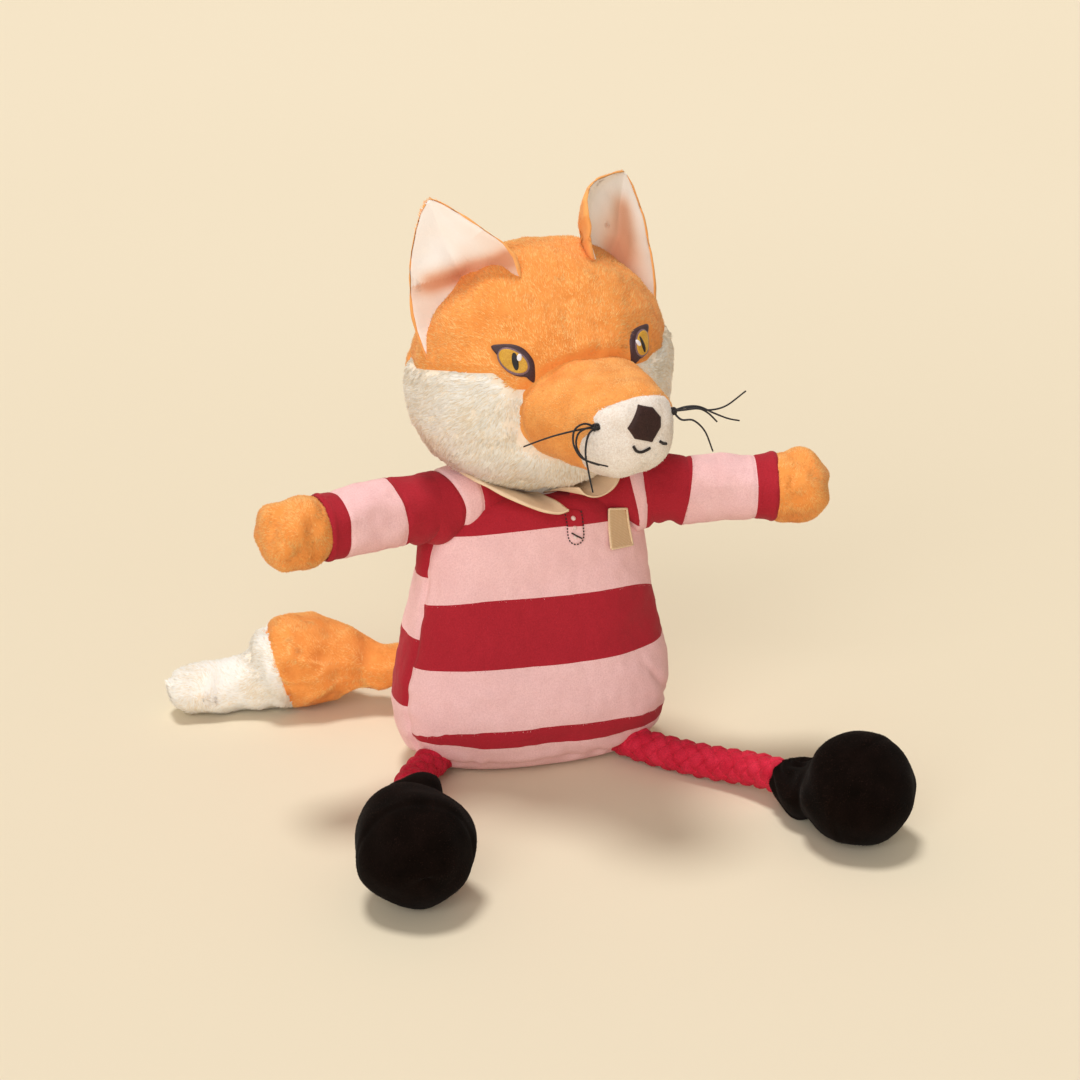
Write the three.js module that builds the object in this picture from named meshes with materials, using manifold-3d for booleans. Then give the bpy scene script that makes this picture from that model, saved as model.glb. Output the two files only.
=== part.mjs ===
// A sitting plush fox with a striped shirt, plaited rope legs and ball feet.
// Millimetres. +X is the fox's own left, -Y its front, +Z up. The origin is on the floor under its seat.
import * as THREE from 'three';
import { mergeVertices } from 'three/addons/utils/BufferGeometryUtils.js';
import Module from 'manifold-3d';

const wasm = await Module();
wasm.setup();

// Driving sizes of the body
const BODY_HEIGHT = 116;
const BODY_HALF_WIDTH = 58;
const BODY_FRONT = 34;
const BODY_BACK = 38;
const SHIRT_TWIST = THREE.MathUtils.degToRad(16);

// Driving sizes of the head, from its own centre
const HEAD_HALF_WIDTH = 54;
const HEAD_UP = 46;
const HEAD_DOWN = 49;
const HEAD_FRONT = 43;
const HEAD_BACK = 46;
const HEAD_ASIDE = 3;
const HEAD_FORWARD = 3;
const HEAD_TURN = THREE.MathUtils.degToRad(12);
const HEAD_NOD = THREE.MathUtils.degToRad(2);
const HEAD_ROLL = THREE.MathUtils.degToRad(-3);

// Muzzle, ears and neck
const MUZZLE_REACH = 81;
const MUZZLE_HALF_WIDTH = 28;
const MUZZLE_HALF_HEIGHT = 20;
const EAR_HEIGHT = 43;
const EAR_HALF_WIDTH = 20;
const EAR_CUP = 7;
const NECK_RADIUS = 14;
const NECK_SPACE = 5;

// Arms, legs and feet
const ARM_LENGTH = 73;
const ARM_RADIUS = 13;
const ARM_SWEEPS = { left: THREE.MathUtils.degToRad(12), right: THREE.MathUtils.degToRad(18) };
const ARM_DROOPS = { left: THREE.MathUtils.degToRad(-1), right: THREE.MathUtils.degToRad(0) };
const ROPE_RADIUS = 6.5;
const HIP_HEIGHT = 10;
const FOOT_RADIUS = 21.8;
const FOOT_NECK_LENGTH = 38;
const FOOT_NECK_RADIUS = 9;
const REST_DEPTH = 0.5;

// Tail
const TAIL_REACH = 140;
const TAIL_RADIUS = 19.5;
const TAIL_ROOT_RADIUS = 9;
const TAIL_ROOT_HEIGHT = 19;

// Cloth, thread and clearances
const SKIN = 1.6;
const TRIM = 1;
const EMBROIDERY = 0.9;
const THREAD_RADIUS = 0.5;
const SEAT_GAP = 0.3;
const SEAM_GAP = 0.3;
const OVERRUN = 200;

// How finely round things are drawn
const ROUND = 20;
const MUZZLE_ROUND = 16;
const LIMB_ROUND = 14;
const BALL_ROUND = 16;
const SMALL_ROUND = 10;
const KNOT_ROUND = 8;
const THREAD_ROUND = 4;
const CURVE_STEPS = 5;
const THREAD_STEPS = 7;
const ROPE_STEPS = 8;
const FOOT_STEPS = 7;

const COLOURS = {
  maroon: 0x9c2440, pink: 0xf0a7b4, orange: 0xe08a3c, cream: 0xf2e6cf, white: 0xf1ece6,
  black: 0x17161a, aubergine: 0x3d2027, amber: 0xd9a32a, rope: 0xc01f45, fibre: 0xe9e6df, shell: 0xdfe5e8,
};

function cloth(colour, roughness = 0.95) {
  return new THREE.MeshStandardMaterial({ color: COLOURS[colour], roughness, metalness: 0 });
}

// A closed solid from any closed geometry.
function solid(geometry, matrix) {
  const bare = geometry.clone();
  bare.deleteAttribute('normal');
  bare.deleteAttribute('uv');
  if (matrix) bare.applyMatrix4(matrix);
  const merged = mergeVertices(bare);
  const mesh = new wasm.Mesh({
    numProp: 3,
    vertProperties: new Float32Array(merged.attributes.position.array),
    triVerts: new Uint32Array(merged.index.array),
  });
  return new wasm.Manifold(mesh);
}

// The largest of the bodies that a cut leaves, without its offcuts.
function largest(body) {
  const bodies = body.decompose();
  return bodies.reduce((best, next) => (next.volume() > best.volume() ? next : best));
}

// The named mesh of a solid, in the solid's own frame.
function part(name, body, material) {
  const mesh = body.getMesh();
  const geometry = new THREE.BufferGeometry();
  geometry.setAttribute('position', new THREE.BufferAttribute(mesh.vertProperties, mesh.numProp));
  geometry.setIndex(new THREE.BufferAttribute(mesh.triVerts, 1));
  geometry.computeVertexNormals();
  const made = new THREE.Mesh(geometry, material);
  made.name = name;
  return made;
}

// One closed ring of points: an oval with its own reach to the front and to the back.
function oval(centre, across, ahead, halfWidth, front, back, square = 2, count = ROUND) {
  const ring = [];
  for (let i = 0; i < count; i += 1) {
    const angle = (i / count) * 2 * Math.PI;
    const c = Math.cos(angle);
    const s = Math.sin(angle);
    const x = Math.sign(c) * Math.abs(c) ** (2 / square) * halfWidth;
    const y = Math.sign(s) * Math.abs(s) ** (2 / square) * (s > 0 ? back : front);
    ring.push(centre.clone().addScaledVector(across, x).addScaledVector(ahead, y));
  }
  return ring;
}

// A closed solid through rings of equal count, with a point at the middle of each end ring.
function loft(rings) {
  const count = rings[0].length;
  const points = rings.flat();
  const middle = (ring) => ring.reduce((sum, p) => sum.add(p), new THREE.Vector3()).divideScalar(count);
  const first = points.length;
  points.push(middle(rings[0]), middle(rings[rings.length - 1]));
  const faces = [];
  for (let j = 0; j < count; j += 1) {
    const k = (j + 1) % count;
    faces.push(first, k, j);
    for (let i = 0; i < rings.length - 1; i += 1) {
      const a = i * count;
      const b = a + count;
      faces.push(a + j, a + k, b + k, a + j, b + k, b + j);
    }
    const last = (rings.length - 1) * count;
    faces.push(last + j, last + k, first + 1);
  }
  const geometry = new THREE.BufferGeometry();
  geometry.setAttribute('position', new THREE.Float32BufferAttribute(points.flatMap((p) => p.toArray()), 3));
  geometry.setIndex(faces);
  return geometry;
}

// The space on one side of a plane, as a large block: it keeps what lies along the normal.
function halfSpace(point, normal) {
  const block = new THREE.BoxGeometry(2 * OVERRUN, 2 * OVERRUN, OVERRUN);
  block.translate(0, 0, OVERRUN / 2);
  const up = new THREE.Vector3(0, 0, 1);
  const turn = new THREE.Quaternion().setFromUnitVectors(up, normal.clone().normalize());
  return solid(block, new THREE.Matrix4().compose(point, turn, new THREE.Vector3(1, 1, 1)));
}

function ball(centre, radius, count = BALL_ROUND) {
  const sphere = new THREE.SphereGeometry(radius, count, count / 2);
  sphere.rotateX(Math.PI / 2);
  return solid(sphere, new THREE.Matrix4().makeTranslation(centre.x, centre.y, centre.z));
}

// The hollow in which a ball turns: the flats of the faceted hollow clear the ball's corners.
function socket(centre, radius, count = BALL_ROUND) {
  return ball(centre, (radius + SEAT_GAP) / Math.cos(Math.PI / count) ** 2, count);
}

function vector(x, y, z) {
  return new THREE.Vector3(x, y, z);
}

const X = vector(1, 0, 0);
const Y = vector(0, 1, 0);
const Z = vector(0, 0, 1);
const CENTRE = vector(0, 0, 0);

// Torso: a pear that widens to a flat seat. Each row is a section, as shares of the body's sizes:
// height, half width, reach to the front, reach to the back.
const torsoShares = [
  [0.00, 0.68, 0.58, 0.60],
  [0.03, 0.81, 0.74, 0.76],
  [0.10, 0.93, 0.90, 0.91],
  [0.22, 1.00, 1.00, 1.00],
  [0.36, 0.98, 0.99, 1.00],
  [0.54, 0.90, 0.88, 0.91],
  [0.72, 0.82, 0.77, 0.79],
  [0.84, 0.77, 0.73, 0.71],
  [0.94, 0.66, 0.68, 0.62],
  [1.00, 0.46, 0.56, 0.48],
];
const torsoSquare = 2.25;

function torsoForm(grow) {
  const middle = BODY_HEIGHT / 2;
  return solid(loft(torsoShares.map(([heightShare, widthShare, frontShare, backShare]) => oval(
    vector(0, 0, middle + (heightShare - 0.5) * 2 * (middle + grow)), X, Y,
    BODY_HALF_WIDTH * widthShare + grow, BODY_FRONT * frontShare + grow, BODY_BACK * backShare + grow,
    torsoSquare,
  ))));
}

// The joints' centres on the torso, in the body's sizes.
const shoulderShares = { out: 0.77, forward: 0.24, up: 0.991 };
const hipShares = { out: 0.64, forward: 0.76 };
const tailShares = { out: 0.05, back: 1.11 };

function shoulderAt(side) {
  return vector(
    side * BODY_HALF_WIDTH * shoulderShares.out,
    -BODY_FRONT * shoulderShares.forward,
    BODY_HEIGHT * shoulderShares.up,
  );
}

function hipAt(side) {
  return vector(side * BODY_HALF_WIDTH * hipShares.out, -BODY_FRONT * hipShares.forward, HIP_HEIGHT);
}

const tailAt = vector(-BODY_HALF_WIDTH * tailShares.out, BODY_BACK * tailShares.back, TAIL_ROOT_HEIGHT);
const neckAt = vector(0, 0, BODY_HEIGHT + NECK_RADIUS / 2);

// What the torso makes room for: the limbs' rounded roots and the tail's.
function rootSpaces() {
  let room = socket(tailAt, TAIL_ROOT_RADIUS);
  for (const side of [-1, 1]) {
    room = room.add(socket(shoulderAt(side), ARM_RADIUS));
    room = room.add(socket(hipAt(side), ROPE_RADIUS, SMALL_ROUND));
  }
  return room;
}

// Squeaker: a hollow bulb with a reed plug in its mouth, in a pocket that opens at the back.
const SQUEAKER_RADIUS = 15;
const SQUEAKER_WALL = 1.2;
const REED_RADIUS = 4;
const REED_LENGTH = 9;
const pocketMouthShare = 0.6;
const squeakerShares = { up: 0.42, back: 0.2 };
const squeakerAt = vector(0, BODY_BACK * squeakerShares.back, BODY_HEIGHT * squeakerShares.up);

function rod(radius, length, centre, axis, count = LIMB_ROUND) {
  const cylinder = new THREE.CylinderGeometry(radius, radius, length, count);
  const turn = new THREE.Quaternion().setFromUnitVectors(Y, axis);
  return solid(cylinder, new THREE.Matrix4().compose(centre, turn, vector(1, 1, 1)));
}

function squeaker() {
  const mouth = squeakerAt.clone().addScaledVector(Y, SQUEAKER_RADIUS);
  const plugCentre = mouth.clone().addScaledVector(Y, REED_LENGTH / 2 - SQUEAKER_RADIUS / 2);
  const bulb = ball(squeakerAt, SQUEAKER_RADIUS, SMALL_ROUND)
    .subtract(ball(squeakerAt, SQUEAKER_RADIUS - SQUEAKER_WALL, SMALL_ROUND))
    .subtract(rod(REED_RADIUS + SEAT_GAP, SQUEAKER_RADIUS, mouth, Y));
  const reed = rod(REED_RADIUS, REED_LENGTH, plugCentre, Y)
    .subtract(rod(REED_RADIUS / 2, REED_LENGTH, plugCentre.clone().addScaledVector(Y, REED_LENGTH / 4), Y));
  return [
    part('squeaker_bulb', bulb, cloth('shell', 0.4)),
    part('squeaker_reed', reed, cloth('white', 0.5)),
  ];
}

// Shirt: front, back and base panels, joined along side seams that the twist of the cloth sets.
const baseSeamShare = 0.065;

function shirt() {
  const room = rootSpaces();
  const neckHole = rod(NECK_RADIUS, OVERRUN, neckAt, Z);
  const shell = torsoForm(0).subtract(torsoForm(-SKIN)).subtract(room);
  const back = vector(-Math.sin(SHIRT_TWIST), Math.cos(SHIRT_TWIST), 0);
  const seamHeight = BODY_HEIGHT * baseSeamShare;
  const above = halfSpace(vector(0, 0, seamHeight + SEAM_GAP / 2), Z);
  const below = halfSpace(vector(0, 0, seamHeight - SEAM_GAP / 2), Z.clone().negate());
  const seam = back.clone().multiplyScalar(SEAM_GAP / 2);
  const upper = shell.intersect(above).subtract(neckHole);
  const frontSide = halfSpace(seam.clone().negate(), back.clone().negate());
  const pocketMouth = squeakerAt.clone().addScaledVector(Y, OVERRUN / 2);
  const fill = torsoForm(-SKIN - SEAT_GAP).subtract(room)
    .subtract(ball(squeakerAt, SQUEAKER_RADIUS + SEAT_GAP, SMALL_ROUND))
    .subtract(rod(SQUEAKER_RADIUS * pocketMouthShare, OVERRUN, pocketMouth, Y));
  return [
    part('shirt_front', upper.intersect(frontSide), cloth('pink')),
    part('shirt_back', upper.intersect(halfSpace(seam, back)), cloth('maroon')),
    part('shirt_base', shell.intersect(below), cloth('pink')),
    part('torso_stuffing', fill, cloth('fibre')),
  ];
}

// The block that a flat outline sweeps outwards from its plane.
function prism(shape, matrix) {
  const options = { depth: OVERRUN, bevelEnabled: false, curveSegments: CURVE_STEPS };
  return solid(new THREE.ExtrudeGeometry(shape, options), matrix);
}

// A flat outline, pressed onto a swelling form: it follows the form and stands proud of it.
function pressedOn(form, block, thickness) {
  return form(SEAT_GAP + thickness).subtract(form(SEAT_GAP)).intersect(block);
}

// The plane that faces a way, with its own X across and Y up, as seen from outside.
function facing(point, turn, tilt = 0, roll = 0) {
  const rotation = new THREE.Matrix4().makeRotationZ(turn)
    .multiply(new THREE.Matrix4().makeRotationX(Math.PI / 2 - tilt))
    .multiply(new THREE.Matrix4().makeRotationZ(roll));
  return new THREE.Matrix4().makeTranslation(point.x, point.y, point.z).multiply(rotation);
}

function outline(points) {
  return new THREE.Shape(points.map(([x, y]) => new THREE.Vector2(x, y)));
}

// Chest trims, placed in the twisted front of the shirt.
const PLACKET_WIDTH = 6;
const PLACKET_LENGTH = 21;
const PLACKET_BUTTON_RADIUS = 1.3;
const PLACKET_BUTTON_STEP = 3.6;
const BADGE_WIDTH = 11;
const BADGE_HEIGHT = 15;
const COLLAR_DEPTH = 8;
const COLLAR_OPENING = 5;
const collarSlopeShare = 0.3;
const collarFlareShare = 0.15;
const badgeAsideShare = 0.36;
const PLACKET_ASIDE = 1.5;
const PLACKET_DROP = 13.5;
const BADGE_DROP = 19;
const PLACKET_BUTTONS = 3;

function roundedBar(width, length, endRadius) {
  const shape = new THREE.Shape();
  const half = width / 2;
  shape.moveTo(-half, length);
  shape.lineTo(-half, endRadius);
  shape.absarc(-half + endRadius, endRadius, endRadius, Math.PI, 1.5 * Math.PI, false);
  shape.lineTo(half - endRadius, 0);
  shape.absarc(half - endRadius, endRadius, endRadius, 1.5 * Math.PI, 2 * Math.PI, false);
  shape.lineTo(half, length);
  return shape;
}

function chestTrims() {
  const made = [];
  const placketFoot = BODY_HEIGHT - PLACKET_DROP;
  const front = (aside, height) => facing(
    vector(aside * Math.cos(SHIRT_TWIST), aside * Math.sin(SHIRT_TWIST), height), SHIRT_TWIST,
  );
  const layer = (grow) => (extra) => torsoForm(grow + extra);
  const belowNeck = halfSpace(vector(0, 0, BODY_HEIGHT - 2 * TRIM), Z.clone().negate());
  const strip = roundedBar(PLACKET_WIDTH, PLACKET_LENGTH, PLACKET_WIDTH / 2);
  const placket = pressedOn(torsoForm, prism(strip, front(PLACKET_ASIDE, placketFoot)), TRIM);
  made.push(part('placket', placket.intersect(belowNeck), cloth('maroon')));
  for (let i = 0; i < PLACKET_BUTTONS; i += 1) {
    const disc = new THREE.Shape().absarc(0, 0, PLACKET_BUTTON_RADIUS, 0, 2 * Math.PI);
    const place = front(PLACKET_ASIDE, placketFoot + PLACKET_WIDTH / 2 + i * PLACKET_BUTTON_STEP);
    const button = pressedOn(layer(SEAT_GAP + TRIM), prism(disc, place), TRIM);
    made.push(part(`placket_button_${i + 1}`, button, cloth('white', 0.5)));
  }
  const badgeFoot = BODY_HEIGHT - BADGE_DROP;
  const patch = roundedBar(BADGE_WIDTH, BADGE_HEIGHT, TRIM);
  const badge = pressedOn(torsoForm, prism(patch, front(BODY_HALF_WIDTH * badgeAsideShare, badgeFoot)), TRIM);
  made.push(part('chest_badge', badge, cloth('cream')));
  return made;
}

// Collar: two leaves on the slope of the shoulders, open at the front and meeting at the back.
function collar() {
  const neckHole = rod(NECK_RADIUS + SEAT_GAP, OVERRUN, neckAt, Z);
  const cloak = torsoForm(SEAT_GAP + TRIM).subtract(torsoForm(SEAT_GAP)).subtract(neckHole);
  return [-1, 1].map((side) => {
    const away = vector(side * Math.cos(SHIRT_TWIST), side * Math.sin(SHIRT_TWIST), 0);
    const front = vector(Math.sin(SHIRT_TWIST), -Math.cos(SHIRT_TWIST), 0);
    const opening = away.clone().addScaledVector(front, -collarFlareShare);
    const slope = Z.clone().addScaledVector(away, -collarSlopeShare);
    const foot = vector(0, 0, BODY_HEIGHT - COLLAR_DEPTH);
    const leaf = cloak
      .intersect(halfSpace(away.clone().multiplyScalar(SEAM_GAP / 2), away))
      .intersect(halfSpace(away.clone().multiplyScalar(COLLAR_OPENING / 2), opening))
      .intersect(halfSpace(foot, slope))
      .subtract(socket(shoulderAt(side), ARM_RADIUS));
    return part(side < 0 ? 'collar_right' : 'collar_left', largest(leaf), cloth('cream'));
  });
}

// Neck: a rounded wad, flat on the torso's filling, on which the head turns and nods.
function neck() {
  const seat = halfSpace(vector(0, 0, BODY_HEIGHT - SKIN), Z);
  return part('neck_stuffing', ball(neckAt, NECK_RADIUS).intersect(seat), cloth('fibre'));
}

// Head, in its own frame: the face looks along -Y.
// Each row is a section: height from the chin to the top, half width, front, back.
const headShares = [
  [-1.00, 0.36, 0.46, 0.36],
  [-0.92, 0.57, 0.66, 0.58],
  [-0.78, 0.75, 0.80, 0.76],
  [-0.58, 0.92, 0.91, 0.90],
  [-0.34, 1.00, 0.98, 0.98],
  [-0.10, 0.99, 1.00, 1.00],
  [0.12, 0.94, 0.97, 1.00],
  [0.36, 0.87, 0.88, 0.94],
  [0.58, 0.76, 0.74, 0.81],
  [0.77, 0.60, 0.57, 0.62],
  [0.91, 0.39, 0.37, 0.40],
  [0.98, 0.18, 0.17, 0.18],
];

function headForm(grow) {
  return solid(loft(headShares.map(([heightShare, widthShare, frontShare, backShare]) => oval(
    vector(0, 0, heightShare * ((heightShare > 0 ? HEAD_UP : HEAD_DOWN) + grow)), X, Y,
    HEAD_HALF_WIDTH * widthShare + grow, HEAD_FRONT * frontShare + grow, HEAD_BACK * backShare + grow,
  ))));
}

// Muzzle: a blunt cone along -Y. Each row is a section: reach, half width, height up, height down.
const muzzleShares = [
  [0.10, 1.00, 1.00, 1.00],
  [0.46, 1.00, 1.02, 1.04],
  [0.62, 0.88, 0.95, 1.02],
  [0.76, 0.76, 0.90, 0.98],
  [0.88, 0.66, 0.82, 0.88],
  [0.95, 0.52, 0.66, 0.70],
  [0.99, 0.30, 0.38, 0.40],
];
const muzzleDropShare = 0.38;
const muzzleSquare = 2.3;

function muzzleForm(grow) {
  const drop = -MUZZLE_HALF_HEIGHT * muzzleDropShare;
  const rings = muzzleShares.map(([reachShare, widthShare, upShare, downShare]) => oval(
    vector(0, -reachShare * (MUZZLE_REACH + grow), drop), X, Z,
    MUZZLE_HALF_WIDTH * widthShare + grow,
    MUZZLE_HALF_HEIGHT * downShare + grow, MUZZLE_HALF_HEIGHT * upShare + grow,
    muzzleSquare, MUZZLE_ROUND,
  ));
  return solid(loft(rings));
}

const headFrame = new THREE.Group();
headFrame.position.set(HEAD_ASIDE, -HEAD_FORWARD, BODY_HEIGHT + NECK_SPACE + HEAD_DOWN);
headFrame.rotation.set(HEAD_NOD, HEAD_ROLL, HEAD_TURN, 'ZYX');
headFrame.updateMatrixWorld(true);
const neckInHead = headFrame.worldToLocal(neckAt.clone());

// Seams of the head: the cheeks' top edge and how far they wrap, and the crown's seam at the back.
const cheekTopShare = 0.04;
const cheekWrapShare = 0.35;
const crownSeamShare = 0.25;
const tipTopShare = 0.86;
const tipFootShare = 0.70;

function headSkins() {
  const neckRoom = socket(neckInHead, NECK_RADIUS);
  const shell = headForm(0).subtract(headForm(-SKIN)).subtract(muzzleForm(SEAT_GAP)).subtract(neckRoom);
  const top = vector(0, 0, HEAD_UP * cheekTopShare);
  const half = SEAM_GAP / 2;
  const up = halfSpace(top, Z);
  const down = halfSpace(top.clone().addScaledVector(Z, -SEAM_GAP), Z.clone().negate());
  const wrap = HEAD_BACK * cheekWrapShare;
  const ahead = halfSpace(vector(0, wrap - half, 0), Y.clone().negate());
  const behind = halfSpace(vector(0, wrap + half, 0), Y);
  const lean = Y.clone().addScaledVector(Z, crownSeamShare);
  const crownFront = halfSpace(vector(0, wrap - half, 0), lean.clone().negate());
  const crownBack = halfSpace(vector(0, wrap + half, 0), lean);
  const crown = shell.intersect(up).intersect(crownFront);
  const rear = shell.intersect(up.intersect(crownBack).add(behind.subtract(up)));
  const cheeks = shell.intersect(down).intersect(ahead);
  const made = [
    part('crown_panel', crown, cloth('orange')),
    part('head_back_panel', rear, cloth('orange')),
    part('head_stuffing', headForm(-SKIN - SEAT_GAP).subtract(neckRoom), cloth('fibre')),
  ];
  for (const side of [-1, 1]) {
    const sideways = halfSpace(vector(side * half, 0, 0), X.clone().multiplyScalar(side));
    const cheek = largest(cheeks.intersect(sideways));
    made.push(part(side < 0 ? 'cheek_right' : 'cheek_left', cheek, cloth('cream')));
  }
  return made;
}

function muzzleSkins() {
  const core = headForm(-SKIN);
  const shell = muzzleForm(0).subtract(muzzleForm(-SKIN)).subtract(core);
  const topPoint = vector(0, -MUZZLE_REACH * tipTopShare, MUZZLE_HALF_HEIGHT * (1 - muzzleDropShare));
  const footPoint = vector(0, -MUZZLE_REACH * tipFootShare, -MUZZLE_HALF_HEIGHT * (1 + muzzleDropShare));
  const along = topPoint.clone().sub(footPoint).normalize();
  const forward = vector(0, -along.z, along.y);
  const half = forward.clone().multiplyScalar(SEAM_GAP / 2);
  return [
    part('muzzle_panel', shell.intersect(halfSpace(topPoint.clone().sub(half), forward.clone().negate())),
      cloth('orange')),
    part('muzzle_tip', shell.intersect(halfSpace(topPoint.clone().add(half), forward)), cloth('white')),
    part('muzzle_stuffing', muzzleForm(-SKIN - SEAT_GAP).subtract(core), cloth('fibre')),
  ];
}

// Embroidered face: nose, mouth stitches and two almond eyes, in shares of each one's size.
const NOSE_WIDTH = 14;
const NOSE_HEIGHT = 13;
const NOSE_DROP = 4;
const MOUTH_WIDTH = 9;
const MOUTH_ENDS = [1.15 * Math.PI, 1.85 * Math.PI];
const STITCH_WIDTH = 1.4;
const EYE_LENGTH = 20;
const EYE_HEIGHT = 10.5;
const IRIS_LENGTH = 12.5;
const IRIS_HEIGHT = 7.6;
const PUPIL_WIDTH = 2.2;
const PUPIL_HEIGHT = 6;
const HIGHLIGHT_RADIUS = 0.8;
const EYE_UP = 9;
const EYE_TURN = THREE.MathUtils.degToRad(37);
const EYE_TILT = THREE.MathUtils.degToRad(3);
const EYE_SLANT = THREE.MathUtils.degToRad(20);
const noseShares = [
  [-0.5, 0.30], [-0.28, 0.5], [0.28, 0.5], [0.5, 0.30], [0.26, -0.34], [0, -0.5], [-0.26, -0.34],
];
const eyeShares = [
  [-0.5, 0.02], [-0.28, 0.40], [0, 0.5], [0.26, 0.36], [0.5, -0.22], [0.25, -0.42], [0, -0.5], [-0.3, -0.34],
];

function sized(shares, width, height, side = 1) {
  const points = shares.map(([x, y]) => [x * width * side, y * height]);
  return outline(side < 0 ? points.reverse() : points);
}

function noseAndMouth() {
  const ahead = (height) => facing(vector(0, 0, height), 0);
  const nose = pressedOn(
    muzzleForm, prism(sized(noseShares, NOSE_WIDTH, NOSE_HEIGHT), ahead(-NOSE_DROP)), EMBROIDERY,
  );
  const mouthHeight = -NOSE_DROP - NOSE_HEIGHT / 2 - STITCH_WIDTH;
  const arc = new THREE.Shape();
  arc.absarc(0, MOUTH_WIDTH / 2, MOUTH_WIDTH / 2, MOUTH_ENDS[0], MOUTH_ENDS[1], false);
  arc.absarc(0, MOUTH_WIDTH / 2, MOUTH_WIDTH / 2 - STITCH_WIDTH, MOUTH_ENDS[1], MOUTH_ENDS[0], true);
  const mouth = pressedOn(muzzleForm, prism(arc, ahead(mouthHeight - MOUTH_WIDTH / 4)), EMBROIDERY);
  return [part('nose', nose, cloth('black')), part('mouth_stitches', mouth, cloth('aubergine'))];
}

function oval2d(width, height, count = SMALL_ROUND) {
  const points = [];
  for (let i = 0; i < count; i += 1) {
    const angle = (i / count) * 2 * Math.PI;
    points.push([Math.cos(angle) * width / 2, Math.sin(angle) * height / 2]);
  }
  return outline(points);
}

function eye(side) {
  const word = side < 0 ? 'right' : 'left';
  const at = facing(vector(0, 0, EYE_UP), side * EYE_TURN, EYE_TILT, side * EYE_SLANT);
  const beside = at.clone().multiply(new THREE.Matrix4().makeTranslation(PUPIL_WIDTH, PUPIL_HEIGHT / 3, 0));
  const room = (width, height, matrix) => prism(oval2d(width + 2 * SEAM_GAP, height + 2 * SEAM_GAP), matrix);
  const spotSize = 2 * HIGHLIGHT_RADIUS;
  const pad = headForm(SEAT_GAP + EMBROIDERY).subtract(headForm(SEAT_GAP)).subtract(muzzleForm(SEAT_GAP));
  const spot = pad.intersect(prism(oval2d(spotSize, spotSize), beside));
  const spotRoom = room(spotSize, spotSize, beside);
  const pupil = pad.intersect(prism(oval2d(PUPIL_WIDTH, PUPIL_HEIGHT), at)).subtract(spotRoom);
  const iris = pad.intersect(prism(oval2d(IRIS_LENGTH, IRIS_HEIGHT), at))
    .subtract(room(PUPIL_WIDTH, PUPIL_HEIGHT, at)).subtract(spotRoom);
  const rim = pad.intersect(prism(sized(eyeShares, EYE_LENGTH, EYE_HEIGHT, -side), at))
    .subtract(room(IRIS_LENGTH, IRIS_HEIGHT, at));
  return [
    part(`${word}_eye_outline`, largest(rim), cloth('aubergine')),
    part(`${word}_eye_iris`, iris, cloth('amber')),
    part(`${word}_eye_pupil`, pupil, cloth('black')),
    part(`${word}_eye_highlight`, spot, cloth('white')),
  ];
}

// Whiskers: strands of thread from one knot on each side of the muzzle's tip.
const WHISKER_LENGTH = 30;
const WHISKER_KNOT = 2;
const whiskerOutShare = 0.60;
const whiskerReachShare = 0.88;
const whiskerDropShare = 0.2;
// Each strand: where it goes, in shares of a whisker's length, out, forward and up.
const whiskerShares = [
  [[0, 0, 0], [0.35, 0.00, 0.06], [0.72, -0.06, 0.10], [1.0, -0.12, 0.26]],
  [[0, 0, 0], [0.35, -0.04, -0.02], [0.65, -0.08, -0.12], [0.85, -0.1, -0.45]],
  [[0, 0, 0], [0.16, 0.10, -0.22], [0.20, 0.12, -0.55], [0.16, 0.10, -0.90]],
];

function whiskers(side) {
  const word = side < 0 ? 'right' : 'left';
  const root = vector(
    side * MUZZLE_HALF_WIDTH * whiskerOutShare, -MUZZLE_REACH * whiskerReachShare,
    -MUZZLE_HALF_HEIGHT * whiskerDropShare,
  );
  let bunch = ball(root, WHISKER_KNOT, KNOT_ROUND);
  for (const strand of whiskerShares) {
    const points = strand.map(([out, forward, up]) => root.clone().add(
      vector(side * out, -forward, up).multiplyScalar(WHISKER_LENGTH),
    ));
    const path = new THREE.CatmullRomCurve3(points);
    const thread = oval2d(2 * THREAD_RADIUS, 2 * THREAD_RADIUS, THREAD_ROUND);
    bunch = bunch.add(solid(new THREE.ExtrudeGeometry(thread, { steps: THREAD_STEPS, extrudePath: path })));
  }
  return part(`${word}_whiskers`, bunch.subtract(muzzleForm(SEAT_GAP)), cloth('black'));
}

// Ears: a cupped leaf of plush with a pale lining, cut to the head along its root.
const EAR_OUT = 33;
const EAR_FORWARD = 9;
const EAR_ROOT_UP = 26;
const EAR_SLOPE = THREE.MathUtils.degToRad(36);
const EAR_YAW = THREE.MathUtils.degToRad(24);
const EAR_CREASE = 3;
const EAR_LAYER_GAP = 0.6;
const EAR_SEAT_GAP = 0.7;
const EAR_ROWS = 6;
const EAR_COLUMNS = 6;
// How the leaf narrows to its tip, how wide its crease is, how much of it is buried, and where the tip goes.
const earNarrowShare = 0.7;
const earTaperShare = 0.06;
const earCreaseShare = 0.33;
const earBuriedShare = 0.2;
const earTipShares = { out: 0.20, back: 0.33, up: 0.92 };

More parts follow.
